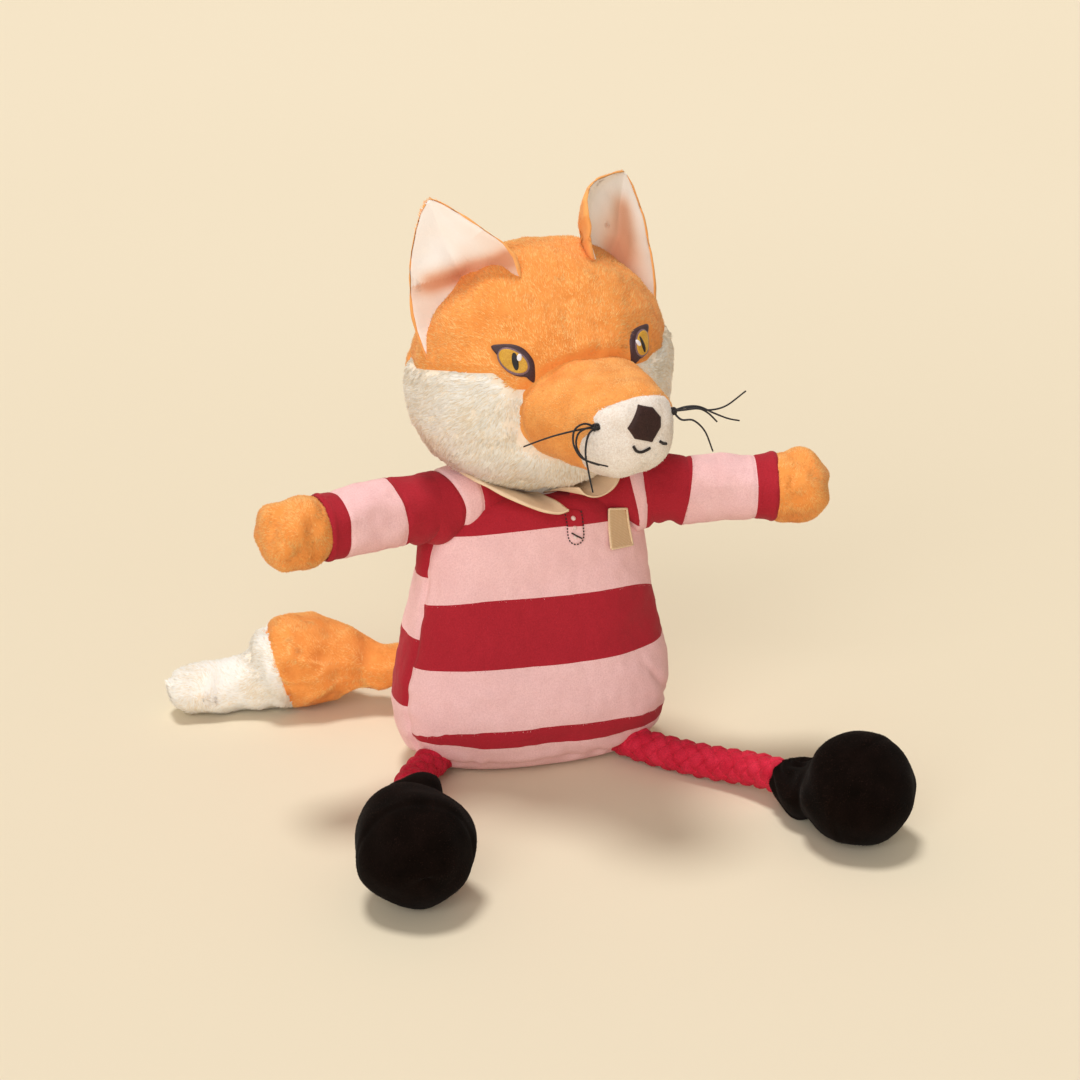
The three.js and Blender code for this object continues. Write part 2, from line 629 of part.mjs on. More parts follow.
function earLeaf(side, near, far) {
  const level = Math.cos(EAR_SLOPE);
  const across = vector(side * level * Math.cos(EAR_YAW), level * Math.sin(EAR_YAW), -Math.sin(EAR_SLOPE));
  const root = vector(side * EAR_OUT, -EAR_FORWARD, EAR_ROOT_UP);
  const rise = vector(side * earTipShares.out, earTipShares.back, earTipShares.up).multiplyScalar(EAR_HEIGHT);
  const behind = across.clone().cross(rise).normalize();
  if (behind.y < 0) behind.negate();
  const point = (u, v, depth) => {
    const narrow = v < 0 ? 1 : (1 - v) ** earNarrowShare;
    const width = EAR_HALF_WIDTH * (narrow + earTaperShare);
    const crease = EAR_CREASE * Math.max(0, 1 - Math.abs(u) / earCreaseShare);
    const cup = (EAR_CUP * (1 - u * u) + crease) * Math.min(1, 1 - v);
    return root.clone().addScaledVector(rise, v).addScaledVector(across, u * width)
      .addScaledVector(behind, cup + depth);
  };
  const ring = (v) => {
    const points = [];
    for (let i = 0; i <= EAR_COLUMNS; i += 1) points.push(point((2 * i) / EAR_COLUMNS - 1, v, near));
    for (let i = EAR_COLUMNS; i >= 0; i -= 1) points.push(point((2 * i) / EAR_COLUMNS - 1, v, far));
    return side < 0 ? points.reverse() : points;
  };
  const rings = [];
  for (let i = 0; i <= EAR_ROWS; i += 1) {
    rings.push(ring((i / EAR_ROWS) * (1 + earBuriedShare) - earBuriedShare));
  }
  return largest(solid(loft(rings)).subtract(headForm(EAR_SEAT_GAP)));
}

function ear(side) {
  const word = side < 0 ? 'right' : 'left';
  return [
    part(`${word}_ear_lining`, earLeaf(side, 0, SKIN), cloth('white')),
    part(`${word}_ear_back`, earLeaf(side, SKIN + EAR_LAYER_GAP, 2 * SKIN + EAR_LAYER_GAP), cloth('orange')),
  ];
}

// Arms: a sleeve and a paw round their filling, in a frame whose X runs along the arm.
// Each row is a section: how far along the arm, and its radius.
const armShares = [
  [0.00, 1.00], [0.16, 1.04], [0.36, 1.03], [0.58, 0.97], [0.66, 1.02], [0.76, 1.16], [0.86, 1.16],
  [0.94, 0.96], [0.985, 0.56], [1.00, 0.20],
];
const cuffShares = { left: 0.72, right: 0.62 };

function armForm(grow) {
  return solid(loft(armShares.map(([alongShare, radiusShare]) => {
    const radius = ARM_RADIUS * radiusShare + grow;
    return oval(vector(alongShare * (ARM_LENGTH + grow), 0, 0), Y, Z, radius, radius, radius, 2, LIMB_ROUND);
  })));
}

function arm(side) {
  const word = side < 0 ? 'right' : 'left';
  const group = new THREE.Group();
  group.position.copy(shoulderAt(side));
  group.rotation.set(0, ARM_DROOPS[word], side > 0 ? -ARM_SWEEPS.left : Math.PI + ARM_SWEEPS.right, 'ZYX');
  const root = ball(CENTRE, ARM_RADIUS);
  const room = socket(CENTRE, ARM_RADIUS);
  const shell = armForm(0).subtract(armForm(-SKIN)).subtract(room);
  const cuff = ARM_LENGTH * cuffShares[word];
  const inner = halfSpace(vector(cuff - SEAM_GAP / 2, 0, 0), X.clone().negate());
  const outer = halfSpace(vector(cuff + SEAM_GAP / 2, 0, 0), X);
  group.add(
    part(`${word}_sleeve_root`, root, cloth('pink')),
    part(`${word}_sleeve`, shell.intersect(inner), cloth('pink')),
    part(`${word}_paw`, shell.intersect(outer), cloth('orange')),
    part(`${word}_arm_stuffing`, armForm(-SKIN - SEAT_GAP).subtract(room), cloth('fibre')),
  );
  return group;
}

// Legs: a plaited rope along the floor. The route's points run from the hip to the ankle.
const ropeRoutes = {
  right: [[-37.1, -25.8, 10], [-46.5, -30, 8.6], [-55, -35.5, 8], [-60.5, -45, 8.6], [-63.2, -57, 10.4],
    [-64.8, -69, 13]],
  left: [[37.1, -25.8, 10], [47, -30.5, 8.8], [58, -37.5, 8.2], [69, -47.5, 8.8], [78, -59.5, 10.6],
    [84.5, -73, 13]],
};

function leg(side) {
  const word = side < 0 ? 'right' : 'left';
  const route = ropeRoutes[word].map(([x, y, z]) => vector(x, y, z));
  const hip = hipAt(side);
  const ankle = route[route.length - 1];
  const path = new THREE.CatmullRomCurve3(route);
  const section = oval2d(2 * ROPE_RADIUS, 2 * ROPE_RADIUS, SMALL_ROUND);
  const rope = solid(new THREE.ExtrudeGeometry(section, { steps: ROPE_STEPS, extrudePath: path }))
    .add(ball(ankle, ROPE_RADIUS, SMALL_ROUND))
    .subtract(socket(hip, ROPE_RADIUS, SMALL_ROUND));
  return [
    part(`${word}_rope_root`, ball(hip, ROPE_RADIUS, SMALL_ROUND), cloth('rope')),
    part(`${word}_rope`, rope, cloth('rope')),
    foot(word, ankle, path.getTangent(1)),
  ];
}

// Foot: a ball with a gathered neck, in a frame whose X runs from the ankle to the toe.
// Its seam lies ahead of the ball's middle, and its neck joins the ball part of the way round.
const footSeamShare = 0.28;
const footNeckShare = 0.8;

function footForm(grow, ankleHeight) {
  const rings = [];
  const centre = FOOT_NECK_LENGTH;
  const drop = FOOT_RADIUS - REST_DEPTH - ankleHeight;
  const start = Math.acos(-Math.sqrt(1 - (FOOT_NECK_RADIUS / FOOT_RADIUS) ** 2)) * footNeckShare;
  const neckFoot = oval(vector(0, 0, 0), Y, Z, FOOT_NECK_RADIUS + grow, FOOT_NECK_RADIUS + grow,
    FOOT_NECK_RADIUS + grow, 2, LIMB_ROUND);
  rings.push(neckFoot);
  for (let i = 0; i < FOOT_STEPS; i += 1) {
    const angle = start * (1 - i / FOOT_STEPS);
    const radius = Math.sin(angle) * (FOOT_RADIUS + grow);
    const along = centre + Math.cos(angle) * (FOOT_RADIUS + grow);
    const height = drop * Math.min(1, along / (centre / 2));
    rings.push(oval(vector(along, 0, height), Y, Z, radius, radius, radius, 2, LIMB_ROUND));
  }
  return solid(loft(rings));
}

function foot(word, ankle, heading) {
  const group = new THREE.Group();
  group.position.copy(ankle);
  group.rotation.z = Math.atan2(heading.y, heading.x);
  const room = socket(CENTRE, ROPE_RADIUS, SMALL_ROUND);
  const floor = halfSpace(vector(0, 0, -ankle.z), Z);
  const innerFloor = halfSpace(vector(0, 0, SKIN + SEAT_GAP - ankle.z), Z);
  const form = (grow) => footForm(grow, ankle.z);
  const shell = form(0).subtract(form(-SKIN)).subtract(room).intersect(floor);
  const sole = form(0).intersect(halfSpace(vector(0, 0, SKIN - ankle.z), Z.clone().negate()))
    .intersect(floor);
  const skin = shell.add(sole).subtract(room);
  const seam = FOOT_NECK_LENGTH + FOOT_RADIUS * footSeamShare;
  const inner = halfSpace(vector(seam - SEAM_GAP / 2, 0, 0), X.clone().negate());
  const outer = halfSpace(vector(seam + SEAM_GAP / 2, 0, 0), X);
  const fill = form(-SKIN - SEAT_GAP).subtract(room).intersect(innerFloor);
  group.add(
    part(`${word}_foot_side`, skin.intersect(inner), cloth('black')),
    part(`${word}_foot_disc`, skin.intersect(outer), cloth('black')),
    part(`${word}_foot_stuffing`, fill, cloth('fibre')),
  );
  return group;
}

// Tail: it leaves the back, lies on the floor and swells before its pale tip, in a frame at its root.
// Each row is a section: to the side and to the back, in shares of the reach; its radius and its height
// above the floor, in shares of the tail's radius.
const tailPathShares = [
  [0.00, 0.00, 0.45, 0.53], [0.09, 0.06, 0.48, 0.36], [0.20, 0.08, 0.58, 0.16], [0.33, 0.09, 0.72, 0.00],
  [0.44, 0.13, 0.92, 0.00], [0.55, 0.18, 1.00, 0.00], [0.65, 0.21, 0.92, 0.00], [0.78, 0.22, 0.76, 0.04],
  [0.89, 0.22, 0.62, 0.16], [0.97, 0.22, 0.48, 0.30], [1.00, 0.22, 0.26, 0.46],
];
const tailSeamShare = 0.62;

function tailForm(grow) {
  const centres = tailPathShares.map(([asideShare, backShare, radiusShare, liftShare]) => vector(
    -TAIL_REACH * asideShare, TAIL_REACH * backShare,
    TAIL_RADIUS * (radiusShare + liftShare) - REST_DEPTH - TAIL_ROOT_HEIGHT,
  ));
  const path = new THREE.CatmullRomCurve3(centres);
  return solid(loft(tailPathShares.map(([, , radiusShare], i) => {
    const tangent = path.getTangent(i / (centres.length - 1)).setZ(0).normalize();
    const across = vector(-tangent.y, tangent.x, 0);
    const radius = TAIL_RADIUS * radiusShare + grow;
    const end = i === centres.length - 1 ? tangent.clone().multiplyScalar(grow) : CENTRE;
    return oval(centres[i].clone().add(end), across, Z, radius, radius, radius, 2, LIMB_ROUND);
  })));
}

function tail() {
  const group = new THREE.Group();
  group.position.copy(tailAt);
  const room = socket(CENTRE, TAIL_ROOT_RADIUS);
  const floor = halfSpace(vector(0, 0, -TAIL_ROOT_HEIGHT), Z);
  const underside = halfSpace(vector(0, 0, SKIN - TAIL_ROOT_HEIGHT), Z.clone().negate());
  const shell = tailForm(0).subtract(tailForm(-SKIN))
    .add(tailForm(0).intersect(underside)).intersect(floor).subtract(room);
  const seam = vector(-TAIL_REACH * tailSeamShare, 0, 0);
  const half = X.clone().multiplyScalar(SEAM_GAP / 2);
  const fill = tailForm(-SKIN - SEAT_GAP)
    .intersect(halfSpace(vector(0, 0, SKIN + SEAT_GAP - TAIL_ROOT_HEIGHT), Z)).subtract(room);
  group.add(
    part('tail_root', ball(CENTRE, TAIL_ROOT_RADIUS), cloth('orange')),
    part('tail_panel', shell.intersect(halfSpace(seam.clone().add(half), X)), cloth('orange')),
    part('tail_tip', shell.intersect(halfSpace(seam.clone().sub(half), X.clone().negate())), cloth('cream')),
    part('tail_stuffing', fill, cloth('fibre')),
  );
  return group;
}

const fox = new THREE.Group();
headFrame.add(
  ...headSkins(), ...muzzleSkins(), ...noseAndMouth(), ...eye(-1), ...eye(1), whiskers(-1), whiskers(1),
  ...ear(-1), ...ear(1),
);
fox.add(
  ...shirt(), ...squeaker(), ...chestTrims(), ...collar(), neck(), headFrame, arm(-1), arm(1), ...leg(-1),
  ...leg(1), tail(),
);

export default fox;
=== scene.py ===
# A sitting plush fox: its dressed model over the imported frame.
# Shapes are worked out in millimetres and written in metres.
import math

import bmesh
import bpy
import numpy as np
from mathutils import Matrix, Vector
from mathutils.bvhtree import BVHTree
from mathutils.kdtree import KDTree


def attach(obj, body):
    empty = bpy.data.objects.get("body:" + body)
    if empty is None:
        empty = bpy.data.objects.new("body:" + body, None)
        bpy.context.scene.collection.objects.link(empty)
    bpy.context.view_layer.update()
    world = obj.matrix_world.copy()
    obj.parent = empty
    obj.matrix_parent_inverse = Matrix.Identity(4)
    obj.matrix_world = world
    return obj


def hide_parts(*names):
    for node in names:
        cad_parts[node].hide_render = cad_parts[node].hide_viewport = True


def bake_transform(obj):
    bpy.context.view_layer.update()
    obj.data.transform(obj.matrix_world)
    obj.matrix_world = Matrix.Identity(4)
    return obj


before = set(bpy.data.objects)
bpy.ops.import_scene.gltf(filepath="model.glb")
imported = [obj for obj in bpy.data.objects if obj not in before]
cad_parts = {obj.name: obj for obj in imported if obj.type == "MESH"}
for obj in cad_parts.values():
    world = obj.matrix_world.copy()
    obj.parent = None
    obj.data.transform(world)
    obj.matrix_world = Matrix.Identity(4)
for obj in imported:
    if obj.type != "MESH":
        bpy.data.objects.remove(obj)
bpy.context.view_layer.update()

MM = 0.001
draw = np.random.default_rng(19)
SIDES = (("right", -1), ("left", 1))


def placed(name, data):
    """A new object in the scene."""
    made = bpy.data.objects.new(name, data)
    bpy.context.collection.objects.link(made)
    return made


# Camera, in metres
CAMERA_AT, CAMERA_TARGET = (-0.1829, -0.6957, 0.3556), (0.0019, -0.0059, 0.0957)
camera = placed("camera", bpy.data.cameras.new("camera"))
camera.data.lens = 63.33
camera.data.sensor_width = 36
camera.location = CAMERA_AT
gaze = Vector(CAMERA_TARGET) - camera.location
camera.rotation_euler = gaze.to_track_quat("-Z", "Y").to_euler()
bpy.context.scene.camera = camera


# Places and curves
def turn(axis, degrees):
    c, s = math.cos(math.radians(degrees)), math.sin(math.radians(degrees))
    return np.array({
        "x": [[1, 0, 0], [0, c, -s], [0, s, c]],
        "y": [[c, 0, s], [0, 1, 0], [-s, 0, c]],
        "z": [[c, -s, 0], [s, c, 0], [0, 0, 1]],
    }[axis])


class Place:
    """A frame of its own, in which a limb's shape is worked out."""

    def __init__(self, origin, basis):
        self.origin, self.basis = np.array(origin, float), basis

    def out(self, points):
        return self.origin + np.asarray(points, float) @ self.basis.T

    def back(self, points):
        return (np.asarray(points, float) - self.origin) @ self.basis

    def way(self, direction):
        return np.asarray(direction, float) @ self.basis.T


def unit(vectors):
    return vectors / (np.linalg.norm(vectors, axis=-1, keepdims=True) + 1e-12)


def step(low, high, value):
    t = np.clip((value - low) / (high - low), 0, 1)
    return t * t * (3 - 2 * t)


def bump(distance, width):
    return np.exp(-((distance / width) ** 2))


def through(points, count, closed=False):
    """Evenly spaced rows on a smooth curve through the given rows."""
    p = np.array(points, float)
    if closed:
        p = np.vstack([p[-1], p, p[0], p[1]])
    else:
        p = np.vstack([2 * p[0] - p[1], p, 2 * p[-1] - p[-2]])
    t = np.linspace(0, 1, 24, endpoint=False)[:, None]
    fine = [
        0.5 * (2 * b + (c - a) * t + (2 * a - 5 * b + 4 * c - d) * t**2 + (3 * b - a - 3 * c + d) * t**3)
        for a, b, c, d in zip(p, p[1:], p[2:], p[3:])
    ]
    fine = np.vstack(fine + [p[-2][None]])
    reach = np.concatenate([[0], np.cumsum(np.linalg.norm(np.diff(fine, axis=0), axis=1))])
    want = np.linspace(0, reach[-1], count + 1)[:-1] if closed else np.linspace(0, reach[-1], count)
    return np.stack([np.interp(want, reach, column) for column in fine.T], axis=1)


class Waves:
    """Smooth noise about zero: a sum of waves that run every way."""

    def __init__(self, seed, longest, shortest, count=28):
        own = np.random.default_rng(seed)
        self.ways = unit(own.normal(size=(count, 3)))
        self.lengths = np.geomspace(longest, shortest, count)
        self.phases = own.uniform(0, 2 * np.pi, count)

    def __call__(self, points):
        total = 0
        for way, length, phase in zip(self.ways, self.lengths, self.phases):
            total = total + np.sin(2 * np.pi * (points @ way) / length + phase) * length**0.7
        return total / np.sqrt((self.lengths**1.4).sum() / 2)


def stray(seed, longest, shortest, points):
    """Three values of smooth noise for each point, which turn its strand aside."""
    return np.stack([Waves(seed + k, longest, shortest)(points) for k in range(3)], axis=1)


# Surfaces
def squared(values, square):
    """Cosines or sines of a ring that is squarer than a circle where square is above 2."""
    return np.sign(values) * np.abs(values) ** (2 / square)


def oval(rows, columns, square):
    """A grid of points round Z from rows of height, half width, reach to the front and to the back."""
    angle = np.arange(columns) / columns * 2 * np.pi
    c, s = squared(np.cos(angle), square), squared(np.sin(angle), square)
    height, half, front, back = (rows[:, k : k + 1] for k in range(4))
    depth = np.where(s > 0, back, front) * s
    return np.stack([half * c, depth, height + 0 * c], axis=2)


class Skin:
    """A grid of points, in the row frame, with its outward normals and the values that it carries."""

    def __init__(self, points, inside=None, wrap=True, caps=(True, True)):
        self.points, self.wrap, self.caps = points, wrap, caps
        self.fields = {}
        self.sign = 1
        self.normals = self.work_out(inside)

    def work_out(self, inside=None):
        p = self.points
        along = np.gradient(p, axis=0)
        if self.wrap:
            round_it = np.roll(p, -1, axis=1) - np.roll(p, 1, axis=1)
        else:
            round_it = np.gradient(p, axis=1)
        normal = unit(np.cross(round_it, along))
        if inside is not None:
            out = (normal * (p - np.asarray(inside))).sum(axis=2).mean()
            self.sign = 1 if out > 0 else -1
        return normal * self.sign

    def facing(self, ways):
        """The skin, turned inside out where its normals mostly look against the given ways."""
        if (self.normals * ways).sum(axis=2).mean() < 0:
            self.sign, self.normals = -self.sign, -self.normals
        return self

    def press(self, amount):
        """Moves the skin along its normals, outwards where the amount is positive."""
        self.points = self.points + self.normals * amount[..., None]
        self.normals = self.work_out()

    def faces(self):
        m, n = self.points.shape[:2]
        rows = np.arange(m - 1)[:, None] * n
        columns = np.arange(n if self.wrap else n - 1)[None]
        after = (columns + 1) % n
        quads = np.stack([rows + columns, rows + after, rows + n + after, rows + n + columns], axis=2)
        quads = quads.reshape(-1, 4)
        if self.sign < 0:
            quads = quads[:, ::-1]
        tris = []
        if self.wrap:
            near = np.arange(n)
            far = near + (m - 1) * n
            if self.caps[0]:
                tris.append(np.stack([np.roll(near, -1), near, 0 * near + m * n], axis=1))
            if self.caps[1]:
                tris.append(np.stack([far, np.roll(far, -1), 0 * far + m * n + self.caps[0]], axis=1))
        tris = [t if self.sign > 0 else t[:, ::-1] for t in tris]
        return [quads] + tris

    def vertices(self, values=None):
        """The grid's points or values in a row, with those of the caps' middles after them."""
        grid = self.points if values is None else values
        flat = [grid.reshape(-1, *grid.shape[2:])]
        if self.wrap:
            for end, capped in zip((0, -1), self.caps):
                if capped:
                    flat.append(grid[end].mean(axis=0)[None])
        return np.concatenate(flat)

    def scatter(self, count, weight=None):
        """Random spots on the skin, evenly by area and by weight: points, normals and a reader of fields."""
        p = self.points
        beside = (lambda g: np.roll(g, -1, axis=1)) if self.wrap else (lambda g: g[:, 1:])
        cut = (lambda g: g) if self.wrap else (lambda g: g[:, :-1])
        low = cut(p[:-1])
        area = np.linalg.norm(np.cross(cut(p[1:]) - low, beside(p[:-1]) - low), axis=2)
        if weight is not None:
            area = area * np.clip(cut(weight[:-1]), 0, None)
        total = np.cumsum(area.ravel())
        found = np.searchsorted(total, draw.uniform(0, total[-1], count))
        i, j = np.unravel_index(found, area.shape)
        u, v = draw.uniform(size=(2, count))

        def read(grid):
            k = (j + 1) % p.shape[1]
            shape = (-1,) + (1,) * (grid.ndim - 2)
            a, b = u.reshape(shape), v.reshape(shape)
            return (
                (1 - a) * (1 - b) * grid[i, j] + a * (1 - b) * grid[i + 1, j]
                + (1 - a) * b * grid[i, k] + a * b * grid[i + 1, k]
            )

        return read(p), unit(read(self.normals)), read


# Materials
def linear(colour):
    shares = np.array(colour, float) / 255
    shares = np.where(shares <= 0.04045, shares / 12.92, ((shares + 0.055) / 1.055) ** 2.4)
    return (*(float(x) for x in shares), 1.0)


class Paint:
    """A material that is put together node by node."""

    def __init__(self, name):
        self.material = bpy.data.materials.new(name)
        self.material.use_nodes = True
        self.tree = self.material.node_tree
        self.tree.nodes.clear()

    def add(self, kind, inputs=None, **settings):
        node = self.tree.nodes.new("ShaderNode" + kind)
        for key, value in settings.items():
            setattr(node, key, value)
        for key, value in (inputs or {}).items():
            if isinstance(value, bpy.types.NodeSocket):
                self.tree.links.new(value, node.inputs[key])
            else:
                node.inputs[key].default_value = value
        return node

    def field(self, name, output="Vector"):
        return self.add("Attribute", attribute_name=name).outputs[output]

    def noise(self, at, size, detail=3.0, rough=0.55):
        inputs = {"Vector": at, "Scale": 1 / (size * MM), "Detail": detail, "Roughness": rough}
        return self.add("TexNoise", inputs).outputs[0]

    def mix(self, factor, a, b, mode="MIX"):
        return self.add("Mix", {0: factor, 6: a, 7: b}, data_type="RGBA", blend_type=mode).outputs[2]

    def range(self, value, low, high, to_low=0.0, to_high=1.0):
        inputs = {0: value, 1: low, 2: high, 3: to_low, 4: to_high}
        return self.add("MapRange", inputs).outputs[0]

    def ramp(self, value, stops, sharp=True):
        node = self.add("ValToRGB", {0: value})
        ramp = node.color_ramp
        ramp.interpolation = "CONSTANT" if sharp else "LINEAR"
        for k, (position, colour) in enumerate(stops):
            element = ramp.elements[k] if k < 2 else ramp.elements.new(position)
            element.position = position
            element.color = linear(colour)
        return node.outputs[0]

    def done(self, colour, rough, height=None, relief=0.2, depth=0.3, sheen=0.0, sheen_rough=0.5, specular=0.3):
        """Finishes the material with its colour, roughness, relief in millimetres and sheen."""
        inputs = {
            "Base Color": colour, "Roughness": rough, "Sheen Weight": sheen, "Sheen Roughness": sheen_rough,
            "Specular IOR Level": specular,
        }
        if height is not None:
            bump_node = self.add("Bump", {"Height": height, "Strength": relief, "Distance": depth * MM})
            inputs["Normal"] = bump_node.outputs[0]
        shader = self.add("BsdfPrincipled", inputs)
        self.add("OutputMaterial", {0: shader.outputs[0]})
        return self.material


def cloth(name, light, dark, grain=0.7, mottle=9.0, rough=0.92, sheen=0.08, relief=0.35, specular=0.12):
    """Napped cloth: two tones in soft patches, a fine grain, and the grain's relief."""
    paint = Paint(name)
    at = paint.field("rest")
    patches = paint.range(paint.noise(at, mottle), 0.3, 0.7)
    fine = paint.noise(at, grain, 2.0, 0.6)
    colour = paint.mix(patches, linear(dark), linear(light))
    colour = paint.mix(paint.range(fine, 0.35, 0.65, 0.35, 0.0), colour, linear(dark))
    return paint.done(colour, rough, fine, relief, 0.4, sheen, specular=specular)


def tones(name, colours, rough=0.9, sheen=0.06, specular=0.12):
    """Constant colours for strands of pile."""
    return [
        Paint(f"{name}_{k + 1}").done(linear(colour), rough, sheen=sheen, specular=specular)
        for k, colour in enumerate(colours)
    ]


def thread(name, light, dark, size=0.35, rough=0.55, sheen=0.2, specular=0.4):
    """Shiny embroidery thread: fine streaks along and across the stitches."""
    paint = Paint(name)
    at = paint.field("rest")
    streaks = paint.noise(at, size, 3.0, 0.7)
    broad = paint.noise(at, 3.0, 2.0)
    colour = paint.mix(paint.range(streaks, 0.3, 0.7), linear(dark), linear(light))
    colour = paint.mix(paint.range(broad, 0.35, 0.7, 0.0, 0.35), colour, linear(dark))
    return paint.done(colour, rough, streaks, 0.3, 0.15, sheen, 0.4, specular)


# Pieces
def build(name, vertices, faces, materials, index=None, fields=None, normals=None):
    """A mesh object from points in millimetres and arrays of faces."""
    mesh = bpy.data.meshes.new(name)
    vertices = np.asarray(vertices, float) * MM
    mesh.vertices.add(len(vertices))
    mesh.vertices.foreach_set("co", vertices.astype(np.float32).ravel())
    mesh.loops.add(sum(group.size for group in faces))
    mesh.loops.foreach_set("vertex_index", np.concatenate([g.ravel() for g in faces]).astype(np.int32))
    sizes = np.concatenate([np.full(len(g), g.shape[1]) for g in faces])
    mesh.polygons.add(len(sizes))
    starts = np.concatenate([[0], np.cumsum(sizes)[:-1]])
    mesh.polygons.foreach_set("loop_start", starts.astype(np.int32))
    if index is not None:
        mesh.polygons.foreach_set("material_index", np.asarray(index, np.int32))
    mesh.polygons.foreach_set("use_smooth", np.full(len(sizes), True))
    mesh.update(calc_edges=True)
    mesh.validate()
    for label, values in {"rest": vertices, **(fields or {})}.items():
        values = np.asarray(values, np.float32)
        kind = "FLOAT_VECTOR" if values.ndim == 2 else "FLOAT"
        attribute = mesh.attributes.new(label, kind, "POINT")
        attribute.data.foreach_set("vector" if values.ndim == 2 else "value", values.ravel())
    for material in materials:
        mesh.materials.append(material)
    if normals is not None:
        mesh.normals_split_custom_set_from_vertices(normals.astype(np.float32))
    return placed(name, mesh)


def dress(name, skin, materials):
    """The object of a skin, with its fields."""
    fields = {label: skin.vertices(values) for label, values in skin.fields.items()}
    return build(name, skin.vertices(), skin.faces(), materials, fields=fields)


def belong(piece, body, nodes=()):
    """Parents a piece to its body; a piece given a pair of bodies only has its place baked in. It hides the nodes that
    the piece stands for.
    """
    if isinstance(body, str):
        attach(piece, body)
    else:
        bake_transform(piece)
    if nodes:
        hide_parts(*nodes)
    return piece


def cut(piece, name, planes, sag=None):
    """A copy of a piece that keeps only what lies behind each plane, given by a point and a normal.

    Where sag is given, the planes are bent: it moves points to where the planes are flat, or back again.
    """
    mesh = piece.data.copy()
    mesh.name = name
    kept = bmesh.new()
    kept.from_mesh(mesh)

    def move(way):
        for vertex, at in zip(kept.verts, sag(np.array([v.co for v in kept.verts]) / MM, way)):
            vertex.co = Vector(at) * MM

    if sag:
        move(1)
    for point, normal in planes:
        geometry = kept.verts[:] + kept.edges[:] + kept.faces[:]
        bmesh.ops.bisect_plane(
            kept, geom=geometry, plane_co=Vector(point) * MM, plane_no=Vector(normal), clear_outer=True
        )
    if sag:
        move(-1)
    kept.to_mesh(mesh)
    kept.free()
    return placed(name, mesh)


def recover(piece, material):
    """Gives a piece one material in place of those it has."""
    piece.data.materials.clear()
    piece.data.materials.append(material)


def drop(piece):
    mesh = piece.data
    bpy.data.objects.remove(piece)
    bpy.data.meshes.remove(mesh)


def lean(normal, way, rise, spread):
    """Strands that lean along a way, rise off the skin by an angle and scatter a little."""
    way = np.broadcast_to(np.asarray(way, float), normal.shape)
    along = unit(way - normal * (way * normal).sum(axis=1, keepdims=True))
    rise = np.radians(np.broadcast_to(rise, normal.shape[:1]))[:, None]
    strand = unit(along * np.cos(rise) + normal * np.sin(rise) + draw.normal(0, spread, normal.shape))
    low = (strand * normal).sum(axis=1, keepdims=True)
    return unit(strand + normal * np.clip(0.08 - low, 0, None))


def pile(name, roots, normal, strands, length, width, materials, pick, bend=None, soft=0.45, sink=0.25):
    """Strands of pile as narrow leaves: one triangle each, or two parts where they bend."""
    count = len(roots)
    length = np.broadcast_to(length, (count,))[:, None]
    half = np.broadcast_to(width, (count,))[:, None] / 2
    side = unit(np.cross(strands, normal) + draw.normal(0, 0.15, normal.shape)) * half
    foot = roots - normal * sink
    base = np.arange(count)[:, None]
    if bend is None:
        tip = foot + strands * length
        corners = np.stack([foot - side, foot + side, tip], axis=1)
        faces = [base * 3 + np.array([[0, 1, 2]])]
        index = pick
    else:
        middle = foot + strands * length * 0.55
        tip = middle + bend * length * 0.45
        corners = np.stack([foot - side, foot + side, middle + side * 0.8, middle - side * 0.8, tip], axis=1)
        faces = [base * 5 + np.array([[0, 1, 2, 3]]), base * 5 + np.array([[3, 2, 4]])]
        index = np.concatenate([pick, pick])
    corners[..., 2] = np.maximum(corners[..., 2], 0.15)
    shade = unit(normal + strands * soft + draw.normal(0, 0.12, normal.shape))
    per = corners.shape[1]
    shade = np.repeat(shade, per, axis=0)
    return build(name, corners.reshape(-1, 3), faces, materials, index, normals=shade)


def choose(values, count):
    """Which of a number of tones each strand has, from a value about zero and some chance."""
    level = values * 0.5 + draw.normal(0, 0.55, len(values))
    edges = np.linspace(-0.75, 0.75, count + 1)[1:-1]
    return np.searchsorted(edges, level)


def clumps(roots, strands, size, pull, seed_share):
    """Turns strands towards the tips of the tufts they belong to."""
    chosen = draw.choice(len(roots), max(8, int(len(roots) * seed_share)), replace=False)
    tree = KDTree(len(chosen))
    for k, at in enumerate(chosen):
        tree.insert(roots[at], k)
    tree.balance()
    nearest = np.array([tree.find(point)[1] for point in roots.tolist()])
    goal = roots[chosen][nearest] + strands[chosen][nearest] * size
    return unit(strands * (1 - pull) + unit(goal - roots) * pull), strands[chosen][nearest]


def tube(path, radius, sides=10, flat=None, across=None):
    """Rings of a tube along a path; a flat tube is wide across and thin the other way."""
    tangent = unit(np.gradient(path, axis=0))
    if across is None:
        across = np.empty_like(path)
        start = np.array([0.0, 0.0, 1.0]) if abs(tangent[0][2]) < 0.9 else np.array([1.0, 0.0, 0.0])
        for k, way in enumerate(tangent):
            start = unit(start - way * (start @ way))
            across[k] = start
    lift = unit(np.cross(tangent, across))
    angle = np.arange(sides) / sides * 2 * np.pi
    radius = np.broadcast_to(radius, (len(path),))[:, None, None]
    thin = radius if flat is None else np.broadcast_to(flat, (len(path),))[:, None, None]
    return (
        path[:, None] + across[:, None] * np.cos(angle)[None, :, None] * radius
        + lift[:, None] * np.sin(angle)[None, :, None] * thin
    )


def join(skins):
    """Vertices and faces of several skins in one mesh."""
    vertices, faces, start = [], [], 0
    for skin in skins:
        own = skin.vertices()
        vertices.append(own)
        faces += [group + start for group in skin.faces()]
        start += len(own)
    return np.concatenate(vertices), faces


def tree_of(*skins):
    """What rays are cast on."""
    vertices, faces = join(skins)
    return BVHTree.FromPolygons(vertices.tolist(), [tuple(face) for group in faces for face in group.tolist()])


